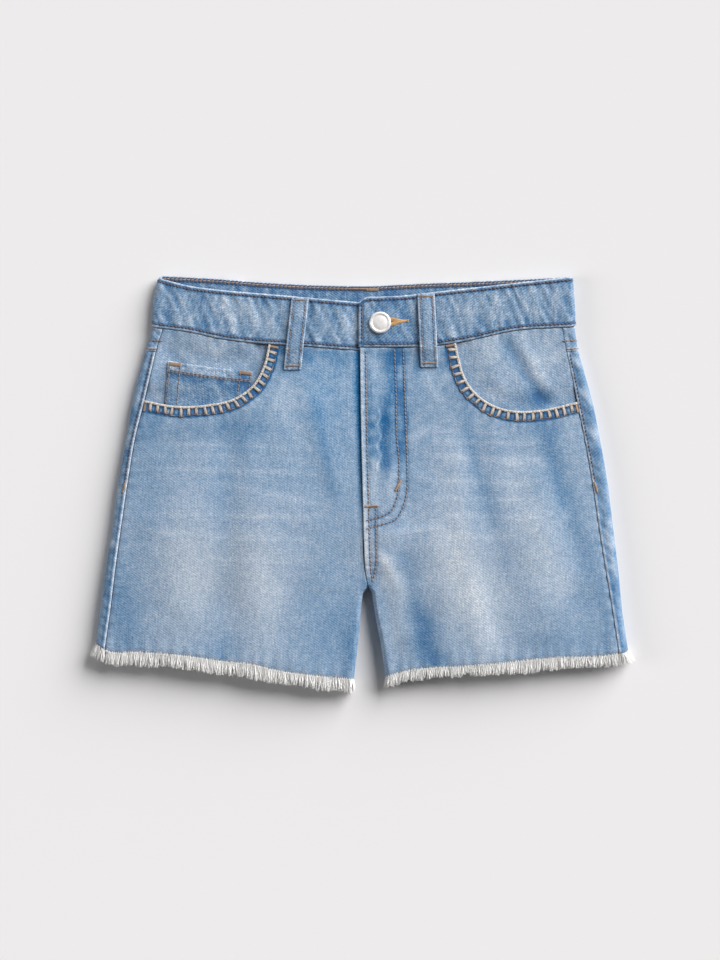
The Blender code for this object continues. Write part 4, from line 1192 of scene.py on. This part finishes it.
# Waistband. One strip of denim folded double round the waist: it starts in the tab with the
# buttonhole at the wearer's left, runs round the back and ends in the underlap.
BAND = 2.8
BAND_PROUD = 1
BAND_TURN = 10  # keeps both halves' lengths apart at the centre back
BAND_INSET = 2.5  # how far inside the band's edges its stitches run
BAND_SHARES = (0.46, 0.54)  # shares of half the band's columns where the back and the side fold end
TAB_EDGE = -1
TAB_RAISE = 1.2
UNDERLAP_END = 24
UNDERLAP_OUT = -0.9
FAR_FROM_TAB = 99  # the distance given where there is no tab
BUTTON = (15.9, 126.3)
SLOT_LENGTH = 21
SLOT_WIDTH = 0.8
SLOT_TURN = math.radians(4)
SLOT_WAY = np.array([math.cos(SLOT_TURN), math.sin(SLOT_TURN)])
SLOT_SQUARE = np.array([-SLOT_WAY[1], SLOT_WAY[0]])


def band_out(x):
    """Outer face of the front of the band: a tab at the wearer's left over a sunk underlap."""
    return BAND_PROUD + TAB_RAISE * (1 - ramp(x, 26, 48))


def underlap_out(x):
    return mix(BAND_PROUD, UNDERLAP_OUT, ramp(x, -12, -1.6))


def band_edges(side, s, y):
    """Heights of the band's lower and upper edge at a place along it."""
    x = back_x(side, s, y)
    return waist_line(side, s, y), mix(band_back(x), band_top(side, x), level(side, s, y))


def band_lay(a, b):
    """Signed length along the band from the centre back, and the height."""
    side, share = np.where(a < 0.5, -1, 1), np.abs(a * 2 - 1)
    ends = np.where(side < 0, UNDERLAP_END, TAB_EDGE)
    y = np.full_like(a, 135)
    for _ in range(ROUNDS):
        s = wrapped(side, share, y, side * YOKE_AT_WAIST, 0, side * ends, *BAND_SHARES)
        y = mix(*band_edges(side, s, y), b)
    return side * (s + BAND_TURN), y


def band_parts(u):
    """Side and length along the cloth again from the signed length."""
    side = np.where(u < 0, -1, 1)
    return side, side * u - BAND_TURN


def streaks(x, y, lean, size, seed):
    """Uneven streaks that run up the cloth with a lean, about `size` long and a third as wide."""
    return clouds((x + lean * y) * 2.6, y * 0.7, size, seed)


def veins(x, y, lean, size, seed):
    """Thin pale lines, as left where the cloth creased in the wash."""
    return (1 - np.abs(streaks(x, y, lean, size, seed))) ** 6


def band_places(u, y):
    """Place on the laid out plane, distance inside the band's edges and inside the tab's end."""
    side, s = band_parts(u)
    low, high = band_edges(side, s, y)
    x = back_x(side, s, y)
    on_tab = (side > 0) & (level(side, s, y) >= 1)
    return x, np.minimum(y - low, high - y), np.where(on_tab, x - TAB_EDGE, FAR_FROM_TAB)


def band_detail(u, y):
    """Fine relief of the band: roped edges, leaning streaks and sunk rows of stitches."""
    x, from_edge, from_tab = band_places(u, y)
    phase = 2 * math.pi * (x + 0.45 * y) / 8.2 + 2.4 * clouds(x, y, 13, 52)
    detail = 0.26 * np.sin(phase) * bell(from_edge - 5.5, 5) + 0.36 * streaks(x, y, 0.45, 10, 53)
    detail += 0.20 * streaks(x, y, -0.25, 7, 55)
    for inside in (from_edge, from_tab):
        detail += 0.26 * bell(inside - 1, 1) - 0.34 * bell(inside - BAND_INSET, 0.8)
    return detail


def band_face(u, y, out):
    side, s = band_parts(u)
    x = back_x(side, s, y)
    on_front = np.where(side > 0, band_out(x), underlap_out(x))
    step = np.where(level(side, s, y) >= 1, on_front, BAND_PROUD)
    resting = 0.35 + 0.65 * ramp(level(side, s, y), 0, 0.6)
    return back(side, s, y, out + step + resting * band_detail(u, y))


def band_wash_and_shade(u, y, edge):
    x, from_edge, from_tab = band_places(u, y)
    faded = 0.25 + 0.13 * level(*band_parts(u), y) + 0.34 * band_detail(u, y)
    faded += 0.05 * clouds(x, y, 17, 54) + 0.04 * clouds(x, y, 5, 56) - 0.09 * patch(x, y, -36, 130, 15, 14)
    creased = 0.21 * veins(x, y, 0.5, 19, 57) + 0.17 * veins(x, y, -0.35, 17, 58) - 0.03
    faded += ramp(from_edge, 2.5, 6) * creased + 0.32 * bell(edge, 1.1)
    # Painted shade along the sunk rows of stitches inside the edges and up the tab's end
    faded -= 0.44 * bell(from_edge - 2.9, 1.2) + 0.04 * bell(from_edge - 6, 4)
    faded -= 0.26 * bell(from_tab - 3, 1.1)
    return faded - 0.06 * np.where(from_tab < FAR_FROM_TAB, 1 - ramp(from_tab, 24, 42), 0)


def over_button(out):
    """Height of a place `out` outside the front at the button."""
    return front(*np.array(BUTTON)[:, None], out)[0, 2]


def slot_cutter():
    """The buttonhole's slit as a solid, through the tab alone."""
    corners = []
    for z in (over_button(underlap_out(BUTTON[0])) + 0.25, over_button(band_out(BUTTON[0])) + 2):
        for along, across in ((0, -1), (SLOT_LENGTH, -0.6), (SLOT_LENGTH, 0.6), (0, 1)):
            place = np.array(BUTTON) + along * SLOT_WAY + across * SLOT_WIDTH / 2 * SLOT_SQUARE
            corners.append((*place, z))
    data = bpy.data.meshes.new("slot_cutter")
    sides = [(0, 3, 2, 1), (4, 5, 6, 7), (0, 1, 5, 4), (1, 2, 6, 5), (2, 3, 7, 6), (3, 0, 4, 7)]
    data.from_pydata((np.array(corners) * MM).tolist(), [], sides)
    return placed("slot_cutter", data)


def cut(piece, tool):
    """Takes the tool's solid out of a piece for good."""
    modifier = piece.modifiers.new("cut", "BOOLEAN")
    modifier.operation = "DIFFERENCE"
    modifier.object = tool
    evaluated = piece.evaluated_get(bpy.context.evaluated_depsgraph_get())
    piece.data = bpy.data.meshes.new_from_object(evaluated)
    piece.modifiers.clear()
    bpy.data.objects.remove(tool)


creased_denim = denim_finish("creased denim", 1.1, 1.9)
waistband = cloth(
    "waistband_cloth", "waistband", across=(710, 668), along=(46, 38), rim=1.3,
    lay=band_lay, face=band_face, thickness=BAND, wash=band_wash_and_shade, finish=creased_denim,
)
cut(waistband, slot_cutter())
# Folded double, the band shows its right side inside too
wrong_side = waistband.data.attributes["wrong_side"].data
wrong_side.foreach_set("value", np.zeros(len(wrong_side), dtype=np.float32))


def on_tab(x, y):
    """The band's own length at a place on its front's left half."""
    _, start, end = side_fold(1, y)
    return start + end - x + BAND_TURN


TAB_ROW = (110, 141.8)  # foot and top of the row up the tab's end
shares = np.linspace(0.006, 0.993, 620)
band_rows = []
for edge, inset in ((0, BAND_INSET), (1, -BAND_INSET)):
    u, y = band_lay(shares, np.full_like(shares, edge))
    band_rows.append(joined(u, y + inset))
tab_heights = np.linspace(*TAB_ROW, 30)
band_rows.append(joined(on_tab(TAB_EDGE + BAND_INSET, tab_heights), tab_heights))
beads("band_stitches", [sewn(row, band_face) for row in band_rows], 0.74, dark_tan)


def band_inside(u, y, out):
    """The same places on the band's inner face, out into the garment."""
    return band_face(u, y, -BAND - out)


# Two-thread chain stitches along the band's upper edge, inside
inner_shares = np.linspace(0.25, 0.75, 330)
u, y = band_lay(inner_shares, np.ones_like(inner_shares))
for tone, insets, finish in (("tan", (2.2,), bright_tan), ("dark", (1, 3.4), dark_tan)):
    runs = [sewn(joined(u, y - inset), band_inside, pitch=3.2, length=3, slant=0.3) for inset in insets]
    beads(f"inner_chain_{tone}", runs, 0.46, finish)


# Pocket facings. Hip pieces of the same denim that show inside the pocket mouths; they are
# sewn into the side seams and the waistband and run on under the fronts.
FACING = 1.1
FACING_MIDDLE = (150, 112)  # of the pocket's opening, on the left side
FACING_UNDER = {-1: 24, 1: 14}  # how far they run on under the fronts
FACING_DEPTH = {-1: 2.8, 1: 1.5}
FACING_RISE = 1.3
FACING_FOLDS = table(
    CREASE,
    (115, 112, 139, 71, 4.5, -0.8), (139, 71, 150, 61, 4.5, -0.9), (126, 112, 150, 74, 5, 0.6),
    (104, 108, 112, 74, 7, 0.4), (-150, 104, -140, 92, 4, -0.5), (-132, 108, -104, 100, 5, 0.4),
    (-96, 104, -84, 84, 5, -0.4),
)
# Faded and dark patches, the darkest painted shade in the left pocket's low corner by the mouth: middle,
# reach across and along, strength
FACING_TONES = ((141, 66, 14, 9, -0.42), (150, 100, 10, 12, 0.16), (-112, 100, 22, 6, -0.12))


def in_mouth(side, x, y):
    return -side * from_mouth(side, x, y)[0]


def facing_out(side, x, y):
    """Outer face of a facing: sunk at the mouth, level with the front by the band and side."""
    inside = ramp(in_mouth(side, x, y), 3, 19)
    by_seam = 1 - ramp(band_bottom(side, x) - y, 0, 17) * ramp(side * (seam_x(side, y) - x), 0, 9)
    return (FACING_RISE + (FACING_DEPTH[side] - 1) * by_seam) * inside - FACING_DEPTH[side]


def facing_lay(side):
    centre, under = np.array(FACING_MIDDLE) * (side, 1), FACING_UNDER[side]
    spread = [point + unit(point - centre) * under for point in np.array(MOUTH[side])]
    start = seam_point(side, MOUTH_SIDE_Y[side] - under)
    end = band_point(side, MOUTH_BAND_X[side], 7) - (side * under, 0)
    low = smooth_line([start, *spread, end], 121)
    top_y = 122
    for _ in range(4):
        top_y = band_point(side, seam_x(side, top_y))[1]
    top_x = seam_x(side, top_y)

    def top(u):
        return band_point(side, mix(top_x, end[0], u))

    def outer(v):
        return seam_point(side, mix(start[1], top_y, v))

    def inner(v):
        return mix(end, top(np.ones_like(v)), v[:, None])

    return lambda a, b: coons(a, b, partial(on_line, low), top, outer, inner).T


def facing_detail(side, x, y):
    creases = ridges(x, y, FACING_FOLDS) + 0.20 * puckers(band_bottom(side, x) - y, x, 8.5, 9, 12)
    creases -= 0.25 * bell(side * (seam_x(side, y) - x), 1.4)
    return creases * ramp(in_mouth(side, x, y), 0, 6)


def facing_face(side, x, y, out):
    return front(x, y, out + facing_out(side, x, y) + facing_detail(side, x, y))


def facing_wash_and_shade(side, x, y, edge):
    # Painted shade just inside the mouth, under the front's edge
    faded = 0.52 + 0.26 * facing_detail(side, x, y) - 0.10 * bell(in_mouth(side, x, y), 4)
    faded += sum(strength * patch(x, y, *place) for *place, strength in FACING_TONES)
    return faded + 0.06 * clouds(x, y, 17, 61) + 0.06 * clouds(x, y, 6, 62) + 0.10 * veins(x, y, 0.6, 15, 63)


facing_denim = denim_finish("facing denim", 1.0, 1.45)
for side, hand in HANDS.items():
    facing = cloth(
        f"facing_cloth_{hand}", f"pocket_facing_{hand}", across=(82, 120), along=(60, 80), rim=0.5,
        lay=facing_lay(side), face=partial(facing_face, side), thickness=FACING,
        wash=partial(facing_wash_and_shade, side), finish=facing_denim,
    )


# Coin pocket. A small patch of the same denim on the wearer's right facing, hemmed along its
# top and topstitched down its sides, with its foot under the front.
COIN_CLOTH = 1
COIN_FEET = [(-156, 44.5), (-90, 46)]
COIN_TOPS = [(-151.7, 96.3), (-84.6, 87.7)]
COIN_SAG = 0.9
COIN_HEM = 9


def coin_lay(a, b):
    low, high = (mix(*np.array(ends)[:, :, None], a) for ends in (COIN_FEET, COIN_TOPS))
    sagged = high - np.array([[0], [COIN_SAG]]) * np.sin(math.pi * a)
    return mix(low, sagged, b)


def coin_top(x):
    (x1, y1), (x2, y2) = COIN_TOPS
    share = (x - x1) / (x2 - x1)
    return mix(y1, y2, share) - COIN_SAG * np.sin(math.pi * np.clip(share, 0, 1))


def coin_detail(x, y):
    from_top = coin_top(x) - y
    hem = 0.55 * (1 - ramp(from_top, COIN_HEM - 0.6, COIN_HEM + 0.8))
    roped = 0.36 * streaks(x, y, 0.6, 6, 71) * bell(from_top - 4.5, 7)
    return hem + roped - 0.25 * bell(from_top - COIN_HEM + 1.2, 0.8) + 0.2 * bell(from_top - 1, 1)


def coin_face(x, y, out):
    step = facing_out(-1, x, y) + SEAM + COIN_CLOTH + facing_detail(-1, x, y)
    return front(x, y, out + step + coin_detail(x, y) * ramp(in_mouth(-1, x, y), 1, 7))


def coin_wash_and_shade(x, y, edge):
    faded = 0.36 + 0.22 * coin_detail(x, y) + 0.10 * clouds(x, y, 12, 72) + 0.14 * clouds(x, y, 5, 73)
    # Painted shade below the hem's fold, in the right part by the mouth's edge and in the lower left corner
    # by the facing's edge
    faded += 0.22 * veins(x, y, 0.4, 12, 74) - 0.24 * bell(coin_top(x) - y - COIN_HEM - 1, 4)
    faded -= 0.46 * patch(x, y, -91, 80, 10, 11) + 0.22 * patch(x, y, -152, 66, 6, 12)
    return faded + 0.08 * bell(edge, 1.3)


coin_pocket = cloth(
    "coin_pocket_cloth", "coin_pocket", across=(66, 67), along=(50, 46), rim=0.5,
    lay=coin_lay, face=coin_face, thickness=COIN_CLOTH, wash=coin_wash_and_shade, finish=creased_denim,
)

coin_x = np.linspace(COIN_TOPS[0][0] + 1.4, COIN_TOPS[1][0] - 1.4, 60)
coin_rows = [joined(coin_x, coin_top(coin_x) - COIN_HEM + inset) for inset in (0.9, 2)]
down = np.linspace(0.02, 0.99, 40)
for inset in (1.5, 9.8, -9.8, -1.5):
    edge = coin_lay(np.full_like(down, 0 if inset > 0 else 1), down)
    coin_rows.append(joined(edge[0] + inset, edge[1]))
beads("coin_stitches", [sewn(row, coin_face) for row in coin_rows], 0.46, worn_tan)
coin_ends = (((-150.6, 94), (-141.4, 92.9)), ((-95.6, 87.4), (-86.4, 86.2)))
beads("coin_bars", [bar(*ends, 3.2, coin_face) for ends in coin_ends], 0.32, bright_tan)


# Zip. A closed metal zip between the fronts, behind the fly: woven tape with its teeth down
# the middle. Its stitches are the fly's.
TAPE = 1
ZIP_OUT = -1.9
ZIP_X = (2.5, 28.5)
ZIP_Y = (-22, 103.5)


def zip_lay(a, b):
    return mix(*ZIP_X, a), mix(*ZIP_Y, b)


def zip_face(x, y, out):
    return front(x, y, out + ZIP_OUT)


def zip_wash(x, y, edge):
    return np.full_like(x, 0.4)


def metal_finish(name, colour, roughness, metallic):
    """Brushed metal, slightly uneven in tone and polish."""
    made, tree, shader = shaded(name, {"Metallic": metallic})
    where = node(tree, "TexCoord").outputs["Object"]
    scratches = grain(tree, where, (900.0,) * 3, detail=4.0)
    cloudy = grain(tree, where, (420.0,) * 3, detail=3.0, offset=3.0)
    rough = raised(tree, blended(tree, (scratches, 0.10), (cloudy, 0.16)), roughness, clamp=True)
    tree.links.new(rough, shader.inputs["Roughness"])
    shade = raised(tree, blended(tree, (scratches, 0.8), (cloudy, 1.4)), 0.6, clamp=True)
    dark = tuple(0.82 * channel for channel in colour)
    covered(tree, shader, ramp_of(tree, shade, [(0.0, dark), (1.0, colour)]), scratches, 0.25, 0.02)
    return made


tape_weave = thread_finish("zip tape weave", (0.36, 0.47, 0.62), (0.24, 0.34, 0.49))
zip_metal = metal_finish("zip metal", (0.62, 0.60, 0.56), 0.42, 1.0)
zip_tape = cloth(
    "zip_tape_cloth", "zip", across=(14, 26), along=(60, 125), rim=0.4,
    lay=zip_lay, face=zip_face, thickness=TAPE, wash=zip_wash, finish=tape_weave,
)
teeth = bar((15.5, -18), (15.5, 102), 4.4, zip_face, pitch=1.45, lift=0.1)
zip_teeth = beads("zip_teeth", [teeth], 0.5, zip_metal, rise=0)


# Belt loops. Folded strips of the same denim with two rows of stitches, tacked over the
# waistband at both ends; the two in front bow out, the three behind are pressed flat.
LOOP = 1.4
LOOP_WIDTH = 13.8
LOOP_BOW = 1.2
LOOP_INSET = 2.3
FRONT_LOOP_TOPS = {-1: (-47.2, 146.3), 1: (52.1, 149.2)}
BACK_LOOPS = {"right": -98, "centre": 4.5, "left": 103}
BACK_LOOP_FOOT = 6
LOOP_TACKS = (3.4, 2)  # how far the tacks lie from the foot and from the top


def loop_detail(seed, across, along):
    """Fine relief of a loop: a puffed middle, two sunk rows and small creases."""
    from_edge = LOOP_WIDTH / 2 - np.abs(across)
    detail = 0.22 * bell(across, 3) - 0.32 * bell(from_edge - LOOP_INSET, 0.8)
    detail += 0.20 * bell(from_edge - 0.9, 0.9)
    return detail + 0.22 * streaks(across + 40, along, 0.5, 8, seed)


def loop_wash_and_shade(seed, across, along, edge):
    from_edge = LOOP_WIDTH / 2 - np.abs(across)
    faded = 0.40 + 0.30 * loop_detail(seed, across, along) + 0.22 * bell(edge, 1.4)
    # Painted shade along the sunk rows of stitches
    faded -= 0.16 * bell(from_edge - LOOP_INSET - 0.4, 1)
    return faded + 0.08 * clouds(across + 40, along, 9, seed + 1)


def loop_lay(length, a, b):
    return (a - 0.5) * LOOP_WIDTH, b * length


def front_loop_face(side, top, foot, seed, across, along, out):
    """A loop over the front of the band, from its foot up to its top."""
    b = along / math.dist(top, foot)
    x, y = mix(foot[0], top[0], b) + across, mix(foot[1], top[1], b)
    edge = band_bottom(side, x)
    cover = ramp(y, edge - 8, edge - 1)
    band = band_out(x) if side > 0 else underlap_out(x)
    bow = LOOP_BOW * np.sin(math.pi * np.clip(b, 0, 1))
    step = band * cover - (1 - cover) * tacked_down(x, y) + SEAM + LOOP + bow
    return front(x, y, out + step + loop_detail(seed, across, along))


def back_loop_face(centre, length, seed, across, along, out):
    """A loop under the back of the band, pressed flat on the floor."""
    inner = 0.25 * loop_detail(seed, across, along) * ramp(-out, 0, LOOP)
    return joined(centre + across, band_back(centre) - 0.5 - length + along, -out - inner)


def belt_loop(name, length, face, seed, stitch, tack):
    """A loop with its stitches and tacks in threads of these radii."""
    strip = cloth(
        f"{name}_strip", name, across=(16, LOOP_WIDTH), along=(56, length), rim=0.6,
        lay=partial(loop_lay, length), face=face, thickness=LOOP,
        wash=partial(loop_wash_and_shade, seed), finish=creased_denim,
    )
    across, reach = LOOP_WIDTH / 2 - LOOP_INSET, LOOP_WIDTH / 2 - 1.2
    rows = [sewn(np.array([(x, 1.5), (x, length - 1.5)]), face, lift=0.02) for x in (-across, across)]
    heights = (LOOP_TACKS[0], length - LOOP_TACKS[1])
    tacks = [bar((-reach, at), (reach, at), 1.5, face, lift=0.12) for at in heights]
    threads = [
        beads(f"{name}_stitches", rows, stitch, worn_tan),
        beads(f"{name}_tacks", tacks, tack, bright_tan),
    ]


for (side, hand), foot in zip(HANDS.items(), LOOP_FEET):
    top, seed = FRONT_LOOP_TOPS[side], 201 + side
    face = partial(front_loop_face, side, top, foot, seed)
    length = math.dist(top, foot)
    belt_loop(f"loop_front_{hand}", length, face, seed, stitch=0.46, tack=0.32)
for seed, (place, centre) in enumerate(BACK_LOOPS.items(), 211):
    length = BAND_HEIGHT + BACK_LOOP_FOOT
    face = partial(back_loop_face, centre, length, seed)
    belt_loop(f"loop_back_{place}", length, face, seed, stitch=0.15, tack=0.15)

# The tack of the centre loop comes through to the inside of the band
INNER_TACK = (0.504, 0.517)  # shares of the band's columns at its two ends
INNER_TACK_INSET = 3.4
u, y = band_lay(np.array(INNER_TACK), np.ones(2))
beads("inner_tack", [bar(*joined(u, y - INNER_TACK_INSET), 2, band_inside)], 0.34, bright_tan)


# Button and buttonhole. A shank button of silvery metal with a raised rim, pushed through a
# hole edged with close stitches in orange tan thread.
NECK_RADIUS = 2
BUTTON_SIDES = 96
# Radius and height over its seat, from the middle of the cap round its rim and down the neck
BUTTON_PROFILE = [
    (0, 2.62), (1.5, 2.60), (3, 2.50), (4.4, 2.30), (5.2, 2.12), (5.7, 1.98), (6, 1.94), (6.25, 2.02),
    (6.6, 2.28), (7, 2.46), (7.5, 2.48), (8, 2.26), (8.4, 1.82), (8.6, 1.20), (8.5, 0.60), (8.1, 0.15),
    (7.4, 0), (NECK_RADIUS, 0),
]


def turned_on(profile, sides):
    """Points and faces of a closed round solid, from a profile that starts and ends on its axis."""
    rings = np.array(profile[1:-1])
    turns = np.arange(sides) * 2 * math.pi / sides
    x, y = rings[:, :1] * np.cos(turns), rings[:, :1] * np.sin(turns)
    points = joined(x, y, np.repeat(rings[:, 1:], sides, 1)).reshape(-1, 3)
    top, foot = len(points), len(points) + 1
    last = len(points) - sides
    around = [(a, (a + 1) % sides) for a in range(sides)]
    faces = ring_faces(len(rings), sides).tolist()
    faces += [(top, a, b) for a, b in around]
    faces += [(foot, last + b, last + a) for a, b in around]
    return np.concatenate([points, [(0, 0, profile[0][1]), (0, 0, profile[-1][1])]]), faces


seat = over_button(band_out(BUTTON[0]) + 2 * SEAM)
neck_foot = over_button(underlap_out(BUTTON[0]) - BAND)
profile = [(radius, seat + height) for radius, height in BUTTON_PROFILE]
points, faces = turned_on([*profile, (NECK_RADIUS, neck_foot), (0, neck_foot)], BUTTON_SIDES)
button_metal = metal_finish("button metal", (0.98, 0.96, 0.95), 0.30, 0.2)
button = object_of("shank_button", points + (*BUTTON, 0), faces, button_metal)
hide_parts("button")


def tab_face(x, y, out):
    return band_face(on_tab(x, y), y, out)


HOLE_START = 8  # the stitches show from the button's rim to the tip of the hole
HOLE_END = 21.6
hole_steps = np.linspace(HOLE_START, HOLE_END, 30)[:, None]
middle = np.array(BUTTON) + hole_steps * SLOT_WAY
near = 0.40 - 0.9 * ramp(hole_steps, 9, 10.6)
far = 3.8 - 2.7 * ramp(hole_steps, 6.5, 19) - 0.5 * ramp(hole_steps, 18, 22)
hole_runs = []
for hand in (-1, 1):
    start = middle + hand * near * SLOT_SQUARE
    end = middle + hand * far * SLOT_SQUARE + SLOT_WAY * 0.5
    hole_runs.append((tab_face(*start.T, 0.2), tab_face(*end.T, 0.15), outward(tab_face, middle, 0.2)))
hole_tip = np.array(BUTTON) + (HOLE_END + 0.4) * SLOT_WAY
hole_runs.append(bar(hole_tip - SLOT_SQUARE, hole_tip + SLOT_SQUARE, 1.6, tab_face))
orange_tan = thread_finish("orange tan thread", (0.72, 0.44, 0.19), (0.40, 0.22, 0.09))
beads("buttonhole_stitches", hole_runs, 0.38, orange_tan)


# Edges of the pocket mouths. A thick cream chain runs along each mouth, with close bars of
# the same cotton square to it, each bound by tan thread, and tan tacks at both ends.
BAR_LENGTH = 8.2
LINK_PITCH = 2.1
cord_cotton = thread_finish("cord cotton", (0.70, 0.655, 0.60), (0.40, 0.35, 0.31))
cord_tan = thread_finish("cord tan", (0.34, 0.26, 0.22), (0.14, 0.11, 0.10))


def along_mouth(side, count, margin):
    """Points along a mouth, with the direction along it and the one into the front's cloth."""
    line = mouths[side]
    reach = reaches(line)
    at = np.linspace(margin, reach[-1] - margin, count)
    point, way = (points_at(values, reach, at) for values in (line, unit(np.gradient(line, axis=0))))
    return point, way, side * joined(-way[:, 1], way[:, 0])


def laid(face, start, end, lift):
    """A thread from start to end on a face, with its outward direction."""
    return face(*start.T, lift), face(*end.T, lift), outward(face, (start + end) / 2)


cream_runs, tan_runs, dark_runs, chain_runs, tack_runs = [], [], [], [], []
for side in HANDS:
    face = partial(front_face, side)
    chance = np.random.default_rng(301 + side)
    count = bar_count(side)
    point, way, into = along_mouth(side, count, BAR_MARGIN)
    point = point + way * chance.uniform(-0.4, 0.4, (count, 1))
    shift = chance.uniform(-1.1, 1.1, (count, 1))
    size = BAR_LENGTH + chance.uniform(-0.9, 0.6, (count, 1))
    for across in (-0.3, 0.3):
        end = point + into * (size - 0.4 + across) + way * (across * 1.6 + shift)
        cream_runs.append(laid(face, point + into * 0.4 + way * across, end, 0.5))
    for across in (-1.1, 1.1):
        end = point + into * size + way * (across * 0.9 + shift)
        tan_runs.append(laid(face, point + into * 1.8 + way * across, end, 0.35))
    feet = point + into * (size + 0.2) + way * shift
    half = mix(feet[:-1], feet[1:], chance.uniform(0.3, 0.7, (count - 1, 1)))
    tan_runs.append(laid(face, feet[:-1] - way[:-1] * 1.2, half - into[:-1] * 0.6, 0.22))
    dark_runs.append(laid(face, half - into[:-1] * 0.9, feet[1:] + way[1:] * 1.2, 0.22))
    point, way, into = along_mouth(side, int(reaches(mouths[side])[-1] / LINK_PITCH), 1)
    for lean in (-0.75, 0.75):
        start, end = point + into * (1 + lean) - way * 1.4, point + into * (1 - lean) + way * 1.4
        chain_runs.append(laid(face, start, end, 0.4))
    for point, _, into in zip(*along_mouth(side, 2, 0.9)):
        tack_runs.append(bar(point + into * 0.6, point + into * 8.4, 2, face, lift=0.4))
beads("mouth_bars_cream", cream_runs, 0.52, cord_cotton, rise=0.5)
beads("mouth_bars_tan", tan_runs, 0.36, cord_tan, rise=0.4)
beads("mouth_bars_feet", dark_runs, 0.30, dark_tan, rise=0.3)
beads("mouth_chain", chain_runs, 0.72, cord_cotton, rise=0.2)
beads("mouth_tacks", tack_runs, 0.40, bright_tan)


# Studio. A pale seamless table top, a large soft light from beyond the waistband at the
# wearer's left, a weaker one from the other side, and faint even light all round.
FLOOR_DROP = 0.1
FLOOR_REACH = 3000
CAMERA_HEIGHT = 2612
CAMERA_Y = 1.98
LONG_SIDE_SEEN = 758.4  # millimetres along the picture's long side, at the height below
SEEN_AT = 12
SENSOR = 36.0
# Strength, spread in degrees, colour and the way to each light
SUNS = {
    "window": (5.85, 50, (1.0, 0.99, 0.985), (0.95, 0.85, 0.66)),
    "reflector": (1.0, 30, (1.0, 1.0, 1.0), (-1.0, -0.1, 0.42)),
}

floor_size = np.array([FLOOR_REACH, FLOOR_REACH, FLOOR_DROP])
corners = [(-1, -1, -1), (1, -1, -1), (1, 1, -1), (-1, 1, -1)] * floor_size
floor_data = bpy.data.meshes.new("table_top")
floor_data.from_pydata((corners * MM).tolist(), [], [(0, 1, 2, 3)])
matt = {"Base Color": (0.80, 0.79, 0.795, 1.0), "Roughness": 0.85, "Specular IOR Level": 0.1}
floor_data.materials.append(shaded("pale table", matt)[0])
placed("table_top", floor_data)

room = bpy.data.worlds.new("room")
room.use_nodes = True
background = room.node_tree.nodes["Background"]
background.inputs["Color"].default_value = (1.0, 0.995, 0.99, 1.0)
background.inputs["Strength"].default_value = 0.08
bpy.context.scene.world = room

for name, (strength, spread, colour, way) in SUNS.items():
    sun = placed(name, bpy.data.lights.new(name, "SUN"))
    sun.data.energy = strength
    sun.data.angle = math.radians(spread)
    sun.data.color = colour
    sun.rotation_euler = Vector(way).to_track_quat("Z", "Y").to_euler()

camera = placed("camera", bpy.data.cameras.new("camera"))
camera.data.sensor_width = SENSOR
camera.data.lens = SENSOR * (CAMERA_HEIGHT - SEEN_AT) / LONG_SIDE_SEEN
camera.location = Vector((0, CAMERA_Y, CAMERA_HEIGHT)) * MM
bpy.context.scene.camera = camera
bpy.context.scene.view_settings.view_transform = "Standard"
